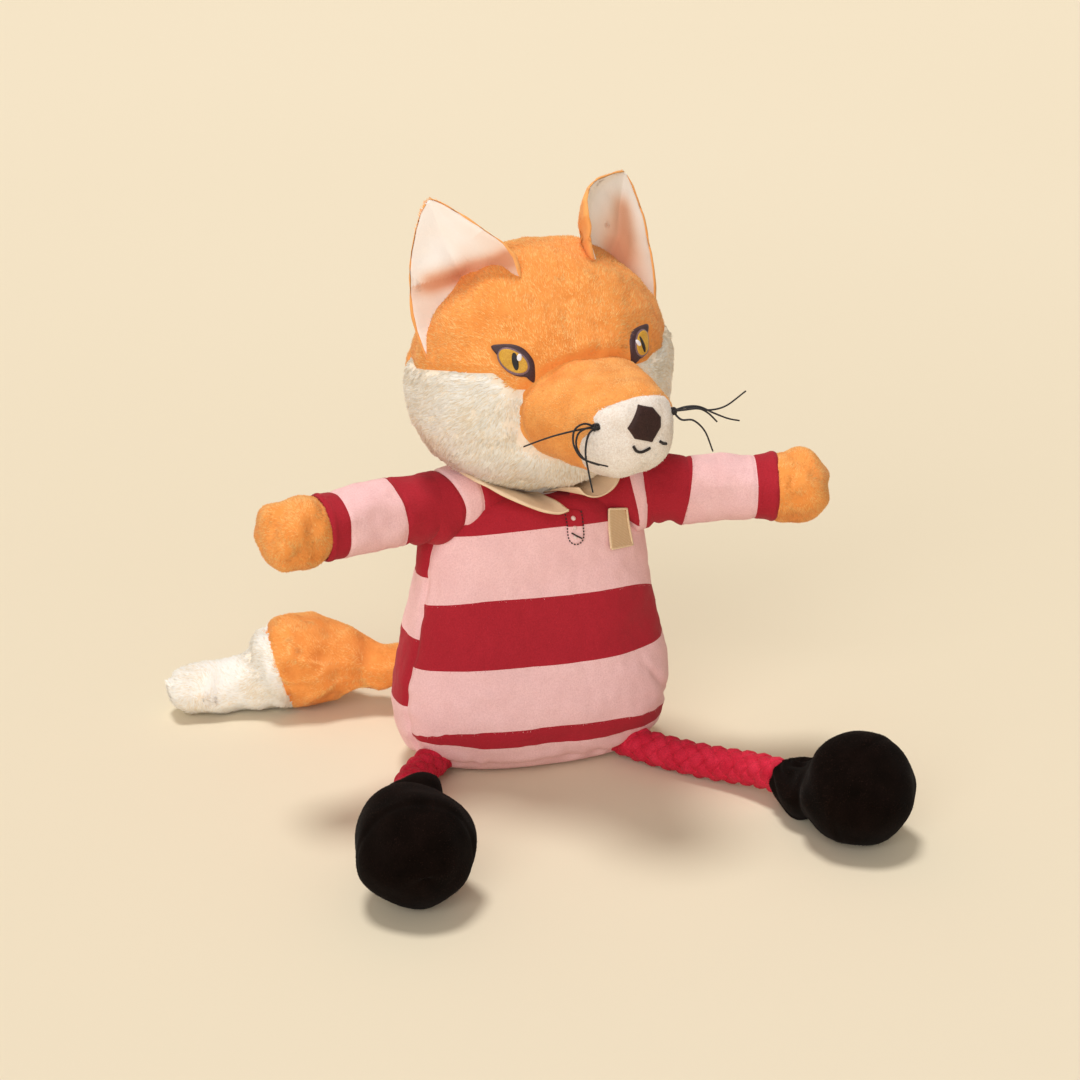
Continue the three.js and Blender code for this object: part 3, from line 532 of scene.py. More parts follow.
def bundle(name, skins, material):
    """One object of several skins."""
    vertices, faces = join(skins)
    return build(name, vertices, faces, [material])


def thread_tube(path, radius, sides=8):
    path = np.asarray(path, float)
    rings = tube(path, radius, sides)
    return Skin(rings).facing(rings - path[:, None])


# Rope legs: eight flat strands in a diamond plait round a core. Each route runs on into the body and foot.
STRANDS = 4
PITCH = 28.0
ROUTES = {
    "right": [
        [-32, -0.5, 9.5], [-41.5, -10, 8.2], [-51, -21, 7.6], [-58, -33, 8.0], [-62.6, -50, 10.0],
        [-64.8, -69, 13],
    ],
    "left": [
        [31, -12, 9.5], [43, -25, 7.8], [57.5, -39.5, 7.6], [69, -50.5, 8.4], [77.3, -61, 10.4],
        [84.0, -74, 12.4],
    ],
}
INTO_BODY = 9.0
INTO_FOOT = 16.0
CORE_RADIUS = 3.5
PLAIT_RADIUS, PLAIT_SWING = 4.95, 0.8
STRAND_HALF_WIDTH, STRAND_HALF_DEPTH, STRAND_SIDES = 2.75, 1.55, 12
rope_paint = Paint("rope_yarn")
rope_at = rope_paint.field("rest")
rope_round = rope_paint.field("round", "Fac")
fibre = rope_paint.noise(rope_at, 0.5, 3.0, 0.6)
ridges = rope_paint.add("Math", {0: rope_round, 1: 44.0}, operation="MULTIPLY").outputs[0]
ridges = rope_paint.add("Math", {0: ridges}, operation="SINE").outputs[0]
yarn = rope_paint.mix(
    rope_paint.range(rope_paint.noise(rope_at, 6.0), 0.3, 0.7), linear((210, 32, 58)), linear((238, 54, 82))
)
yarn = rope_paint.mix(rope_paint.range(fibre, 0.35, 0.65, 0.4, 0.0), yarn, linear((120, 8, 28)))
yarn = rope_paint.mix(rope_paint.range(ridges, -1.0, 0.2, 0.35, 0.0), yarn, linear((112, 6, 26)))
rope_material = rope_paint.done(yarn, 0.8, ridges, 0.3, 0.25, 0.04, 0.4, 0.15)
feet_at = {}
for word, route in ROUTES.items():
    route = np.array(route, float)
    hip_way = unit(route[0] - route[1])
    toe_way = unit(route[-1] - route[-2])
    toe_way[2] *= 0.4
    toe_way = unit(toe_way)
    points = np.vstack([
        route[0] + hip_way * INTO_BODY, route, route[-1] + toe_way * INTO_FOOT / 2, route[-1] + toe_way * INTO_FOOT,
    ])
    path = through(points, 90)
    feet_at[word] = (route[-1], math.degrees(math.atan2(toe_way[1], toe_way[0])))
    run = np.concatenate([[0], np.cumsum(np.linalg.norm(np.diff(path, axis=0), axis=1))])
    tangent = unit(np.gradient(path, axis=0))
    side = unit(np.cross(tangent, [0, 0, 1.0]))
    lift = unit(np.cross(side, tangent))
    skins, rounds = [Skin(tube(path, CORE_RADIUS, 14))], []
    rounds.append(np.zeros(len(skins[0].vertices())))
    phase = 2 * np.pi * run / PITCH
    for hand in (1, -1):
        for k in range(STRANDS):
            angle = hand * phase + k * np.pi / 2 + (0 if hand > 0 else np.pi / 4)
            radius = PLAIT_RADIUS + PLAIT_SWING * hand * np.sin(4 * phase)
            out = side * np.cos(angle)[:, None] + lift * np.sin(angle)[:, None]
            centre = path + out * radius[:, None]
            way = unit(np.gradient(centre, axis=0))
            width = unit(np.cross(out, way))
            rings = tube(centre, STRAND_HALF_WIDTH, STRAND_SIDES, STRAND_HALF_DEPTH, width)
            strand = Skin(rings).facing(rings - centre[:, None])
            skins.append(strand)
            ring = np.broadcast_to(np.cos(np.arange(STRAND_SIDES) / STRAND_SIDES * 2 * np.pi), rings.shape[:2])
            rounds.append(strand.vertices(ring))
    vertices, faces = join(skins)
    vertices[:, 2] = np.maximum(vertices[:, 2], 0.1)
    rope = build(f"{word}_leg_rope", vertices, faces, [rope_material], fields={"round": np.concatenate(rounds)})
    bend = (f"{word}_leg", f"{word}_foot", route[-1] - toe_way * 2, route[-1] + toe_way * 8)
    belong(rope, bend, [f"{word}_rope", f"{word}_rope_root"])

# Cloth of the shirt
MAROON, PINK = (180, 42, 56), (252, 209, 211)
MAROON_TONES = [(166, 34, 46), (182, 44, 58), (198, 60, 76)]
PINK_TONES = [(247, 197, 197), (252, 210, 211), (254, 224, 225)]
BODY_HEIGHT, BODY_HALF_WIDTH, BODY_FRONT, BODY_BACK = 116.0, 58.0, 34.0, 38.0
TWIST = math.radians(16)
SIDE_SEAM = -3.0
AWAY = np.array([math.cos(TWIST), math.sin(TWIST), 0.0])
AHEAD = np.array([math.sin(TWIST), -math.cos(TWIST), 0.0])
TORSO_SHARES = [
    [0.00, 0.02, 0.02, 0.02], [0.00, 0.30, 0.20, 0.27], [0.00, 0.54, 0.34, 0.50], [0.006, 0.67, 0.44, 0.62],
    [0.03, 0.80, 0.60, 0.75], [0.10, 0.93, 0.83, 0.91], [0.22, 1.00, 0.98, 1.00], [0.36, 0.98, 0.99, 1.00],
    [0.54, 0.90, 0.88, 0.91], [0.72, 0.83, 0.78, 0.79], [0.84, 0.79, 0.75, 0.71], [0.94, 0.69, 0.70, 0.62],
    [1.00, 0.48, 0.58, 0.48], [1.01, 0.24, 0.30, 0.26],
]
SEAT_SEAM = 7.5
FIELD_TOP = 125.0
BACK_EDGES = (32.0, 60.0, 85.0)
torso_rows = np.array(TORSO_SHARES) * [BODY_HEIGHT, BODY_HALF_WIDTH, BODY_FRONT, BODY_BACK]
torso = Skin(oval(through(torso_rows, 170), 380, 2.25), (0, 0, 50))


# Heights of the front stripes' edges at the middle, from which they curve
THIN_FOOT, THIN_TOP, LOW_EDGE, MIDDLE_EDGE, CHEST_EDGE = 17.4, 25.9, 52.2, 79.4, 106.8


def front_level(points):
    """Where a point of the front panel lies between the edges of its stripes, from 0 to 1."""
    a, z = points @ AWAY, points[..., 2]
    left, right = np.clip(-a, 0, None), np.clip(a, 0, None)
    thin_top = THIN_TOP - 5.8 * (np.clip(-18 - a, 0, None) / 36) ** 3
    thin_top = thin_top - 0.00115 * np.clip(a + 18, 0, None) ** 2
    thin_foot = np.minimum(THIN_FOOT - 0.02 * a, thin_top - 0.4)
    low = LOW_EDGE - 3.0 * (left / 54) ** 4
    middle = MIDDLE_EDGE - 4.6 * (left / 48) ** 4 - 9.0 * (right / 48) ** 4
    chest_edge = CHEST_EDGE - 0.0022 * a**2
    edges = [thin_foot - 20, thin_foot, thin_top, low, middle, chest_edge, chest_edge + 30]
    level = 0 * z
    for below, above in zip(edges, edges[1:]):
        level = level + np.clip((z - below) / (above - below), 0, 1)
    return level / 6


def is_maroon_front(level):
    return (level * 6 % 2) >= 1


soft_lumps = Waves(3, 60, 14)
small_lumps = Waves(4, 12, 4)
p = torso.points
edge = np.abs(p @ AHEAD - SIDE_SEAM)
hem = np.abs(p[..., 2] - 7.0)
low_crease = (p @ AWAY - 44) * 0.75 + (p[..., 2] - 32) * 0.66
crease = bump(low_crease, 1.6) * step(10, 22, p[..., 2]) * (1 - step(36, 52, p[..., 2]))
crease = np.where(p @ AHEAD > 0, crease, 0)
shift = 0.5 * soft_lumps(p) + 0.12 * small_lumps(p)
shift = shift * step(0.5, 12, p[..., 2])
shift -= 1.0 * bump(edge, 1.5) * step(6, 14, p[..., 2])
shift -= 0.9 * bump(hem, 1.5)
shift += 0.22 * np.sin(p[..., 2] / 2.3 + 2 * soft_lumps(p)) * bump(edge, 5)
shift += 0.5 * np.sin((p @ AWAY) / 2.6 + 2 * soft_lumps(p)) * bump(hem, 5) * step(1, 5, p[..., 2])
shift -= 1.5 * crease
torso.press(shift)
torso.points[..., 2] = np.maximum(torso.points[..., 2], 0.1)
torso.fields["level"] = front_level(p)
torso.fields["height"] = p[..., 2] / FIELD_TOP
torso.fields["ahead"] = p @ AHEAD - SIDE_SEAM


def worn(paint, colour, mottle, share):
    """Finishes a colour as napped cloth: it is darker in soft patches and in its fine grain."""
    at = paint.field("rest")
    fine = paint.noise(at, 0.6, 2.0, 0.65)
    shaded = paint.mix(1.0, colour, linear((226, 214, 214)), "MULTIPLY")
    colour = paint.mix(paint.range(paint.noise(at, mottle), 0.3, 0.7, 0.0, share), colour, shaded)
    colour = paint.mix(paint.range(fine, 0.35, 0.62, 0.45, 0.0), colour, shaded)
    return paint.done(colour, 0.92, fine, 0.4, 0.4, 0.06, specular=0.12)


def striped(name, front_stops, back_stops):
    """The shirt's stripes, which lie at other heights behind its side seams."""
    paint = Paint(name)
    front = paint.ramp(paint.field("level", "Fac"), front_stops)
    back = paint.ramp(paint.field("height", "Fac"), back_stops)
    facing_front = paint.add("Math", {0: paint.field("ahead", "Fac"), 1: 0.0}, operation="GREATER_THAN").outputs[0]
    colour = paint.mix(facing_front, back, front)
    return worn(paint, colour, 14, 0.3)


shirt_material = striped(
    "striped_nap",
    [(k / 6, (PINK, MAROON)[k % 2]) for k in range(6)],
    [(edge / FIELD_TOP, tone) for edge, tone in zip((0.0, *BACK_EDGES), (PINK, MAROON, PINK, MAROON))],
)
whole = dress("shirt_whole", torso, [shirt_material])
belong(
    cut(whole, "shirt_front_cloth", [((0, 0, SEAT_SEAM), (0, 0, -1)), (AHEAD * SIDE_SEAM, -AHEAD)]),
    "torso", ["shirt_front", "torso_stuffing"],
)
belong(
    cut(whole, "shirt_back_cloth", [((0, 0, SEAT_SEAM), (0, 0, -1)), (AHEAD * SIDE_SEAM, AHEAD)]),
    "torso", ["shirt_back"],
)
belong(cut(whole, "shirt_seat_cloth", [((0, 0, SEAT_SEAM), (0, 0, 1))]), "torso", ["shirt_base"])
drop(whole)

maroon_tones = tones("maroon_nap", MAROON_TONES)
pink_tones = tones("pink_nap", PINK_TONES)


def nap(name, skin, count, is_maroon, way, length=1.0, width=0.4, weight=None):
    roots, normal, read = skin.scatter(count, weight)
    strands = lean(normal, way, 13, 0.13)
    pick = choose(small_lumps(roots * 1.7), 3) + np.where(is_maroon(roots, read), 0, 3)
    size = length * draw.uniform(0.6, 1.1, count)
    return pile(name, roots, normal, strands, size, width, maroon_tones + pink_tones, pick, soft=0.3)


exposed = step(1.0, 4.0, torso.points[..., 2])


def body_maroon(roots, read):
    height = read(torso.fields["height"]) * FIELD_TOP
    low, middle, high = BACK_EDGES
    on_back = (height > high) | ((height > low) & (height < middle))
    return np.where(read(torso.fields["ahead"]) > 0, is_maroon_front(read(torso.fields["level"])), on_back)


shirt_nap = nap("shirt_nap", torso, 110000, body_maroon, (0, 0, -1), weight=exposed + 0.02)
belong(shirt_nap, "torso")

# Arms: raglan shoulders, sleeves and paws, each in a frame whose X runs along the arm
ARM_LENGTH, ARM_RADIUS = 73.0, 13.0
SHOULDER = np.array([44.66, -8.16, 114.96])
FIELD_START, FIELD_SPAN = 12, 100
ARM_SHARES = [
    [0.00, 1.00], [0.16, 1.04], [0.36, 1.03], [0.58, 0.97], [0.66, 1.02], [0.76, 1.16], [0.86, 1.16],
    [0.94, 0.96], [0.985, 0.56], [1.00, 0.06],
]
raglans = {}
ARMS = {
    "right": {"side": -1, "turn": 198, "droop": 0, "bands": (15.0, 38.6, 46.8)},
    "left": {"side": 1, "turn": -12, "droop": -1, "bands": (16.5, 43.6, 52.6)},
}
orange_base = cloth("orange_ground", (250, 168, 90), (238, 148, 72), 0.8, 7.0, sheen=0.06)
ORANGE_TONES = [(245, 158, 78), (252, 173, 91), (255, 186, 106), (255, 200, 126)]
orange_tones = tones("orange_pile", ORANGE_TONES)


def band_material(name, stops):
    """A sleeve's bands along the arm."""
    paint = Paint(name)
    return worn(paint, paint.ramp(paint.field("along", "Fac"), stops), 12, 0.35)


def around(rows, columns, squash=1.0):
    """Rings round X from rows of reach along X and radius."""
    angle = np.arange(columns) / columns * 2 * np.pi
    radius = rows[:, 1:2]
    return np.stack([
        rows[:, 0:1] + 0 * angle, radius * np.cos(angle), radius * np.sin(angle) * squash,
    ], axis=2)


for word, arm in ARMS.items():
    side = arm["side"]
    place = Place(SHOULDER * [side, 1, 1], turn("z", arm["turn"]) @ turn("y", -arm["droop"]))
    first, second, cuff = arm["bands"]
    arm_rows = np.array(ARM_SHARES) * [ARM_LENGTH, ARM_RADIUS]
    if word == "right":
        arm_rows[5:8] -= [[1.5, 1.7], [2.6, 1.6], [3.0, 0.6]]
        arm_rows[8:] -= [[3.0, 0.0], [3.0, 0.0]]
    inner = np.vstack([[[-10, 11.5], [-5, 12.4]], arm_rows[arm_rows[:, 0] < cuff - 4]])
    edge_radius = np.interp(cuff, arm_rows[:, 0], arm_rows[:, 1])
    inner = np.vstack([inner, [[cuff - 1.5, edge_radius - 0.2], [cuff, edge_radius - 0.9]]])
    grid = around(through(inner, 110), 150)
    angle = np.arctan2(grid[..., 2], grid[..., 1] * side)
    sleeve = Skin(place.out(grid), place.out([20, 0, 0]), caps=(False, False))
    along = grid[..., 0]
    lumps = Waves(11 + side, 34, 9)
    under = bump(angle + 1.4, 0.75)
    shift = 0.45 * lumps(sleeve.points) + 0.1 * small_lumps(sleeve.points)
    shift += under * (1.6 * bump(along - 5, 3.4) - 1.5 * bump(along - 10.5, 2.4) + 0.8 * bump(along - 15, 3))
    shift -= 1.0 * bump(along - 3.0, 1.6) * bump(angle + 0.6, 0.9)
    shift -= 0.4 * bump(along - first, 0.8) + 0.4 * bump(along - second, 0.8)
    sleeve.press(shift * step(-2, 3, along))
    slope = -1.8 * np.sin(angle)
    sleeve.fields["along"] = (along + slope * bump(along - first, 12) + FIELD_START) / FIELD_SPAN
    stops = [(0.0, MAROON)] + [
        ((band + FIELD_START) / FIELD_SPAN, tone) for band, tone in ((first, PINK), (second, MAROON))
    ]
    material = band_material(f"{word}_sleeve_nap", stops)
    bend = (f"{word}_shoulder", f"{word}_arm", place.out([-6, 0, 0]), place.out([9, 0, 0]))
    belong(dress(f"{word}_sleeve_cloth", sleeve, [material]), bend,
           [f"{word}_sleeve", f"{word}_sleeve_root"])

    def sleeve_maroon(roots, read):
        at = read(sleeve.fields["along"]) * FIELD_SPAN - FIELD_START
        return (at < first) | (at > second)

    fuzz = nap(
        f"{word}_sleeve_nap", sleeve, 42000, sleeve_maroon, place.way([1, 0, 0]), weight=step(-2, 4, along) + 0.01
    )
    belong(fuzz, bend)

    outer = np.vstack([
        [[cuff - 5, edge_radius - 2.4], [cuff - 1, edge_radius - 1.4], [cuff + 2.5, edge_radius - 0.4]],
        arm_rows[arm_rows[:, 0] > cuff + 4],
    ])
    grid = around(through(outer, 90), 140)
    grid[..., 2] -= (1.0 if word == "right" else 0.0) * step(46, 60, grid[..., 0])
    paw = Skin(place.out(grid), place.out([60, 0, 0]), caps=(False, True))
    mitt = Waves(21 + side, 26, 8)
    paw.press(0.7 * mitt(paw.points) * step(cuff, cuff + 6, grid[..., 0]))
    belong(dress(f"{word}_paw_cloth", paw, [orange_base]), f"{word}_arm",
           [f"{word}_paw", f"{word}_arm_stuffing"])
    roots, normal, read = paw.scatter(26000, step(cuff - 1.5, cuff + 1, grid[..., 0]))
    way = unit(place.way([0.8, 0, 0]) + np.array([0, 0, -0.5]) + 0.5 * np.stack(
        [small_lumps(roots), small_lumps(roots + 40), small_lumps(roots - 30)], axis=1))
    strands = lean(normal, unit(0.5 * way + np.array([0.1, 0.9, -0.2])), 9, 0.08)
    furry = pile(f"{word}_paw_pile", roots, normal, strands, draw.uniform(1.4, 2.2, len(roots)), 0.5, orange_tones,
                 choose(mitt(roots) * 0.3 + small_lumps(roots) * 0.4, 4))
    belong(furry, f"{word}_arm")

    # The raglan piece that joins the sleeve to the chest and back
    centre_line = through(place.out([[4.2, 0, 0], [0, 0, 0], [-10, 0, 0], [-20, 0, -1], [-30, 0, -3]]), 70)
    share = np.linspace(0, 1, 70)
    girth = np.interp(share, [0, 0.12, 0.35, 0.7, 1.0], [12.2, 13.2, 13.6, 14.4, 15.5])
    rings = tube(centre_line, girth, 130)
    raglan = Skin(rings, caps=(False, False)).facing(rings - centre_line[:, None])
    spot = place.back(rings)
    reach, up = spot[..., 0], spot[..., 2] / 14
    if word == "right":
        outer_seam = -10.5 + 4.5 * np.clip(up, 0, 1) ** 1.5
        inner_seam = -18.5 + 7 * np.clip(-up, 0, 1) ** 1.3
    else:
        outer_seam = -3 * np.clip(up, 0, 1)
        inner_seam = -5 - 4 * up
    wedge = 4.5 + np.clip(reach - outer_seam + 0.5, 0, 1)
    in_chest = np.clip((inner_seam - reach) / 0.8 + 0.5, 0, 1)
    raglan.fields["level"] = (wedge + (front_level(rings) * 6 - wedge) * in_chest) / 6
    raglan.fields["height"] = raglan.fields["level"]
    raglan.fields["ahead"] = 1 + 0 * reach
    shift = 0.3 * soft_lumps(rings * 1.6)
    shift -= 0.7 * bump(reach - outer_seam, 0.9) + 0.7 * bump(reach - inner_seam, 0.9)
    shift += (2.6 if side < 0 else 4.6) * bump(up + 1, 0.6) * bump(reach + (3.5 if side < 0 else 2.0), 5)
    raglan.press(shift)
    into = (place.out([-6, 0, 0]), place.out([2, 0, 0]))
    raglan_bend = ("torso", f"{word}_shoulder", *into)
    raglans[word] = raglan
    belong(dress(f"{word}_raglan_cloth", raglan, [shirt_material]), raglan_bend)
    share_grid = np.broadcast_to(share[:, None], rings.shape[:2])

    def raglan_maroon(roots, read):
        return is_maroon_front(read(raglan.fields["level"]))

    fuzz = nap(f"{word}_raglan_nap", raglan, 16000, raglan_maroon, (0, 0, -1), weight=step(0.02, 0.1, share_grid))
    belong(fuzz, raglan_bend)

# Head, in its own frame, where the face looks along -Y
HEAD_AT, HEAD_TURN, HEAD_TILT, HEAD_NOD = (3, -3, 170), 12, -3, 2
head = Place(HEAD_AT, turn("z", HEAD_TURN) @ turn("y", HEAD_TILT) @ turn("x", HEAD_NOD))
HEAD_HALF_WIDTH, HEAD_UP, HEAD_DOWN, HEAD_FRONT, HEAD_BACK = 54.0, 46.0, 45.0, 43.0, 46.0
HEAD_SHARES = [
    [-1.00, 0.02, 0.02, 0.02], [-1.00, 0.22, 0.28, 0.22], [-0.995, 0.36, 0.46, 0.36], [-0.92, 0.57, 0.66, 0.58],
    [-0.78, 0.75, 0.80, 0.76], [-0.58, 0.92, 0.91, 0.90], [-0.34, 1.00, 0.98, 0.98], [-0.10, 0.99, 1.00, 1.00],
    [0.12, 0.94, 0.97, 1.00], [0.36, 0.87, 0.88, 0.94], [0.58, 0.76, 0.74, 0.81], [0.77, 0.60, 0.57, 0.62],
    [0.91, 0.39, 0.37, 0.40], [0.98, 0.18, 0.17, 0.18], [1.0, 0.02, 0.02, 0.02],
]
MUZZLE_REACH, MUZZLE_HALF_WIDTH, MUZZLE_HALF_HEIGHT, MUZZLE_DROP = 81.0, 28.0, 20.0, -7.6
MUZZLE_SHARES = [
    [0.30, 1.02, 0.88, 1.02], [0.46, 1.00, 0.92, 1.04], [0.62, 0.88, 0.90, 1.02], [0.76, 0.76, 0.87, 0.98],
    [0.88, 0.66, 0.82, 0.88], [0.95, 0.52, 0.66, 0.70], [0.985, 0.32, 0.40, 0.42], [1.0, 0.03, 0.03, 0.03],
]
MUZZLE_LEFT_SHARE = 0.94
SQUARE = 2.3
head_rows = np.array(HEAD_SHARES) * [1, HEAD_HALF_WIDTH, HEAD_FRONT, HEAD_BACK]
head_rows[:, 0] *= np.where(head_rows[:, 0] > 0, HEAD_UP, HEAD_DOWN)
muzzle_rows = np.array(MUZZLE_SHARES) * [
    MUZZLE_REACH, MUZZLE_HALF_WIDTH, MUZZLE_HALF_HEIGHT, MUZZLE_HALF_HEIGHT,
]


def off_muzzle(p):
    """About how far a point of the head's frame is outside the muzzle's form."""
    reach = -p[..., 1]
    half, up, down = (np.interp(reach, muzzle_rows[:, 0], muzzle_rows[:, k]) for k in (1, 2, 3))
    z = p[..., 2] - MUZZLE_DROP
    tall = np.where(z > 0, up, down)
    half = half * np.where(p[..., 0] > 0, MUZZLE_LEFT_SHARE, 1.0)
    square = np.where(z > 0, 2.0, SQUARE)
    level = (np.abs(p[..., 0] / half) ** square + np.abs(z / tall) ** square) ** (1 / square)
    return (level - 1) * (half * tall) ** 0.5 + np.clip(10 - reach, 0, None)


def off_head(p):
    """About how far a point of the head's frame is outside the head's form."""
    half, front, back = (np.interp(p[..., 2], head_rows[:, 0], head_rows[:, k]) for k in (1, 2, 3))
    deep = np.where(p[..., 1] > 0, back, front)
    level = np.sqrt((p[..., 0] / half) ** 2 + (p[..., 1] / deep) ** 2)
    return (level - 1) * (half * deep) ** 0.5


CHEEK_TOP, CHEEK_WRAP = 4.0, 16.1


def cheek_rise(p):
    """How far the cheek's upper seam lies above CHEEK_TOP at a point of the head's frame."""
    left = 8.0 * np.clip((p[..., 1] + 34) / 34, 0, 1) - 0.5
    right = np.interp(p[..., 1], [-38, -35, -29, -15, 4, 12], [-4.0, -2.4, 3.6, 2.8, -0.6, 0.0])
    return np.where(p[..., 0] > 0, left, right) * step(0, 8, np.abs(p[..., 0]))


def sag(points, way):
    """Takes points to where the cheeks' upper seams are level, or back again with way -1."""
    own = head.back(points)
    own[:, 2] -= way * cheek_rise(own)
    return head.out(own)


grid = oval(through(head_rows, 190), 330, 2)
face = Skin(head.out(grid), head.out([0, 0, 0]))
own = grid
gap = off_muzzle(own)
to_cheek = np.abs(own[..., 2] - CHEEK_TOP - cheek_rise(own)) + np.clip(own[..., 1] - CHEEK_WRAP, 0, None)
head_lumps = Waves(31, 50, 14)
shift = 0.55 * head_lumps(own) + 0.12 * small_lumps(own)
shift -= 1.6 * bump(gap, 2.6)
shift -= 0.8 * bump(to_cheek, 1.6)
face.press(shift)
cream_base = cloth("cream_ground", (252, 243, 228), (242, 226, 204), 0.9, 6.0)
whole = dress("head_whole", face, [orange_base, cream_base])
below = (head.out([0, 0, CHEEK_TOP]), head.way([0, 0, 1]))
above = (below[0], -below[1])
ahead = (head.out([0, CHEEK_WRAP, 0]), head.way([0, 1, 0]))
behind = (ahead[0], -ahead[1])
middle = head.out([0, 0, 0])
crown = cut(whole, "crown_cloth", [above], sag)
nape = cut(whole, "nape_cloth", [below, behind], sag)
belong(crown, "head", ["crown_panel", "head_stuffing"])
belong(nape, "head", ["head_back_panel"])
for word, side in SIDES:
    cheek = cut(whole, f"{word}_cheek_cloth", [below, ahead, (middle, -side * head.way([1, 0, 0]))], sag)
    recover(cheek, cream_base)
    belong(cheek, "head", [f"cheek_{word}"])
drop(whole)
face_tree = tree_of(face)

# Eyes lie on the head, each in a plane of its own: X across, Y up, Z outwards
EYE_HEIGHT, EYE_TURN, EYE_TIP, EYE_SLANT = 9, 37, 87, 20
EYES = {
    word: Place(
        head.out([0, 0, EYE_HEIGHT]),
        head.basis @ turn("z", side * EYE_TURN) @ turn("x", EYE_TIP) @ turn("z", side * EYE_SLANT),
    )
    for word, side in SIDES
}
EYE_OUTLINE = [
    [-12.4, 1.7], [-9.5, 3.6], [-5.2, 5.2], [-1.1, 5.3], [3.1, 3.4], [5.6, 0.4], [7.3, -5.2], [4.4, -4.0],
    [1.6, -4.5], [-1.4, -4.6], [-4.4, -4.0], [-7.1, -2.6], [-9.2, -0.4],
]


# How far aside an eye's points lie: as drawn, and in the narrower left eye
EYE_DRAWN, EYE_NARROW = [-13, -4, 8], [-9.0, 0.7, 9.9]


def fit_eye(word, flat):
    """An outline drawn for the right eye; the left one is mirrored, narrower and nearer the muzzle."""
    flat = np.array(flat, float)
    if word == "right":
        return flat
    aside = np.interp(flat[:, 0], EYE_DRAWN, EYE_NARROW)
    return np.column_stack([-aside, flat[:, 1]])


def over_eye(p, word, grow=0.0):
    """How far a point of the row frame is outside an eye's almond, about."""
    q = EYES[word].back(p)
    x, y = q[..., 0] * (1 if word == "right" else -1), q[..., 1] - 0.2
    x = (x if word == "right" else np.interp(x, EYE_NARROW, EYE_DRAWN)) + 2.4
    y = y + 0.18 * np.clip(x, 0, None)
    level = np.abs(x / (10.4 + grow)) ** 1.7 + np.abs(y / (5.4 + grow)) ** 1.7
    level = np.where(q[..., 2] > 0, level, 9)
    return level


def lift_on(tree, place, flat, depth=90.0):
    """Points of a plane, put on the surface under them."""
    start = place.out(np.column_stack([flat, np.full(len(flat), depth)]))
    way = Vector(place.way([0, 0, -1]))
    found = np.empty_like(start)
    for k, point in enumerate(start.tolist()):
        hit = tree.ray_cast(Vector(point), way)[0]
        found[k] = hit if hit is not None else np.array(point) + np.array(way) * depth
    return found


def fan(outline, rings):
    """Rings from near an outline's middle out to it, and how far out each lies."""
    middle = outline.mean(axis=0)
    share = np.linspace(0, 1, rings + 1)[1:] ** 0.8
    return middle + share[:, None, None] * (outline - middle), share


def patch(name, tree, place, outline, lift, materials, stitch=0.45, way=(1, 0), relief=0.12, rings=22, base=0.0,
          blunt=6.0):
    """Satin stitch: a raised pad inside an outline, with ridges of thread across it."""
    up = place.way([0, 0, 1])
    flat, share = fan(through(outline, 120, closed=True), rings)
    spots = lift_on(tree, place, flat.reshape(-1, 2)).reshape(*flat.shape[:2], 3)
    height = lift * (1 - share**blunt) ** 0.5
    ridge = relief * np.abs(np.sin(np.pi * (flat @ np.array(way, float)) / stitch)) * (1 - share[:, None] ** 12)
    points = spots + up * (base + height[:, None] + ridge - 0.3 * (share[:, None] > 0.99))[..., None]
    return dress(name, Skin(points, caps=(True, False)).facing(up), materials)


def ellipse(x, y, across, tall, tilt=0.0, count=16):
    angle = np.arange(count) / count * 2 * np.pi
    c, s = math.cos(math.radians(tilt)), math.sin(math.radians(tilt))
    u, v = np.cos(angle) * across / 2, np.sin(angle) * tall / 2
    return np.stack([x + u * c - v * s, y + u * s + v * c], axis=1)


rim_thread = thread("rim_thread", (84, 56, 62), (48, 28, 34))
lid_thread = thread("lid_thread", (150, 120, 128), (104, 78, 86))
iris_thread = thread("iris_thread", (232, 184, 62), (196, 138, 32), 0.5)
pupil_thread = thread("pupil_thread", (30, 22, 24), (10, 8, 10))
spark_thread = thread("spark_thread", (250, 248, 250), (224, 222, 232))
for word, spark_at in (("right", -0.9), ("left", 0.4)):
    # Each layer's name, finish, node, outline, height and thread, then its stitches' width, way and relief,
    # its rings, and how high it starts
    for layer, slot, node, outline, lift, silk, *stitching in (
        ("rim", "eye_thread", "outline", EYE_OUTLINE, 1.0, rim_thread, 0.5, (0.9, 0.4), 0.12, 22, 0.0),
        ("lid", "eye_thread", None, ellipse(-2.5, 0.0, 13.8, 8.2, -12), 0.25, lid_thread,
         0.4, (1, 0.2), 0.08, 12, 0.95),
        ("amber", "iris_thread", "iris", ellipse(-2.6, 0.1, 12.4, 6.9, -12), 0.3, iris_thread,
         0.5, (1, 0.1), 0.1, 16, 1.15),
        ("slit", "dark_thread", "pupil", ellipse(-1.8, 0.3, 2.5, 6.8, 32), 0.3, pupil_thread,
         0.5, (0, 1), 0.06, 10, 1.4),
        ("spark", "white_thread", "highlight", ellipse(spark_at, 2.1, 1.9, 2.6, 20), 0.3, spark_thread,
         0.5, (0, 1), 0.06, 8, 1.6),
    ):
        flat = fit_eye(word, outline)
        stitched = patch(f"{word}_eye_{layer}", face_tree, EYES[word], flat, lift, [silk], *stitching)
        belong(stitched, "head", [f"{word}_eye_{node}"] if node else ())

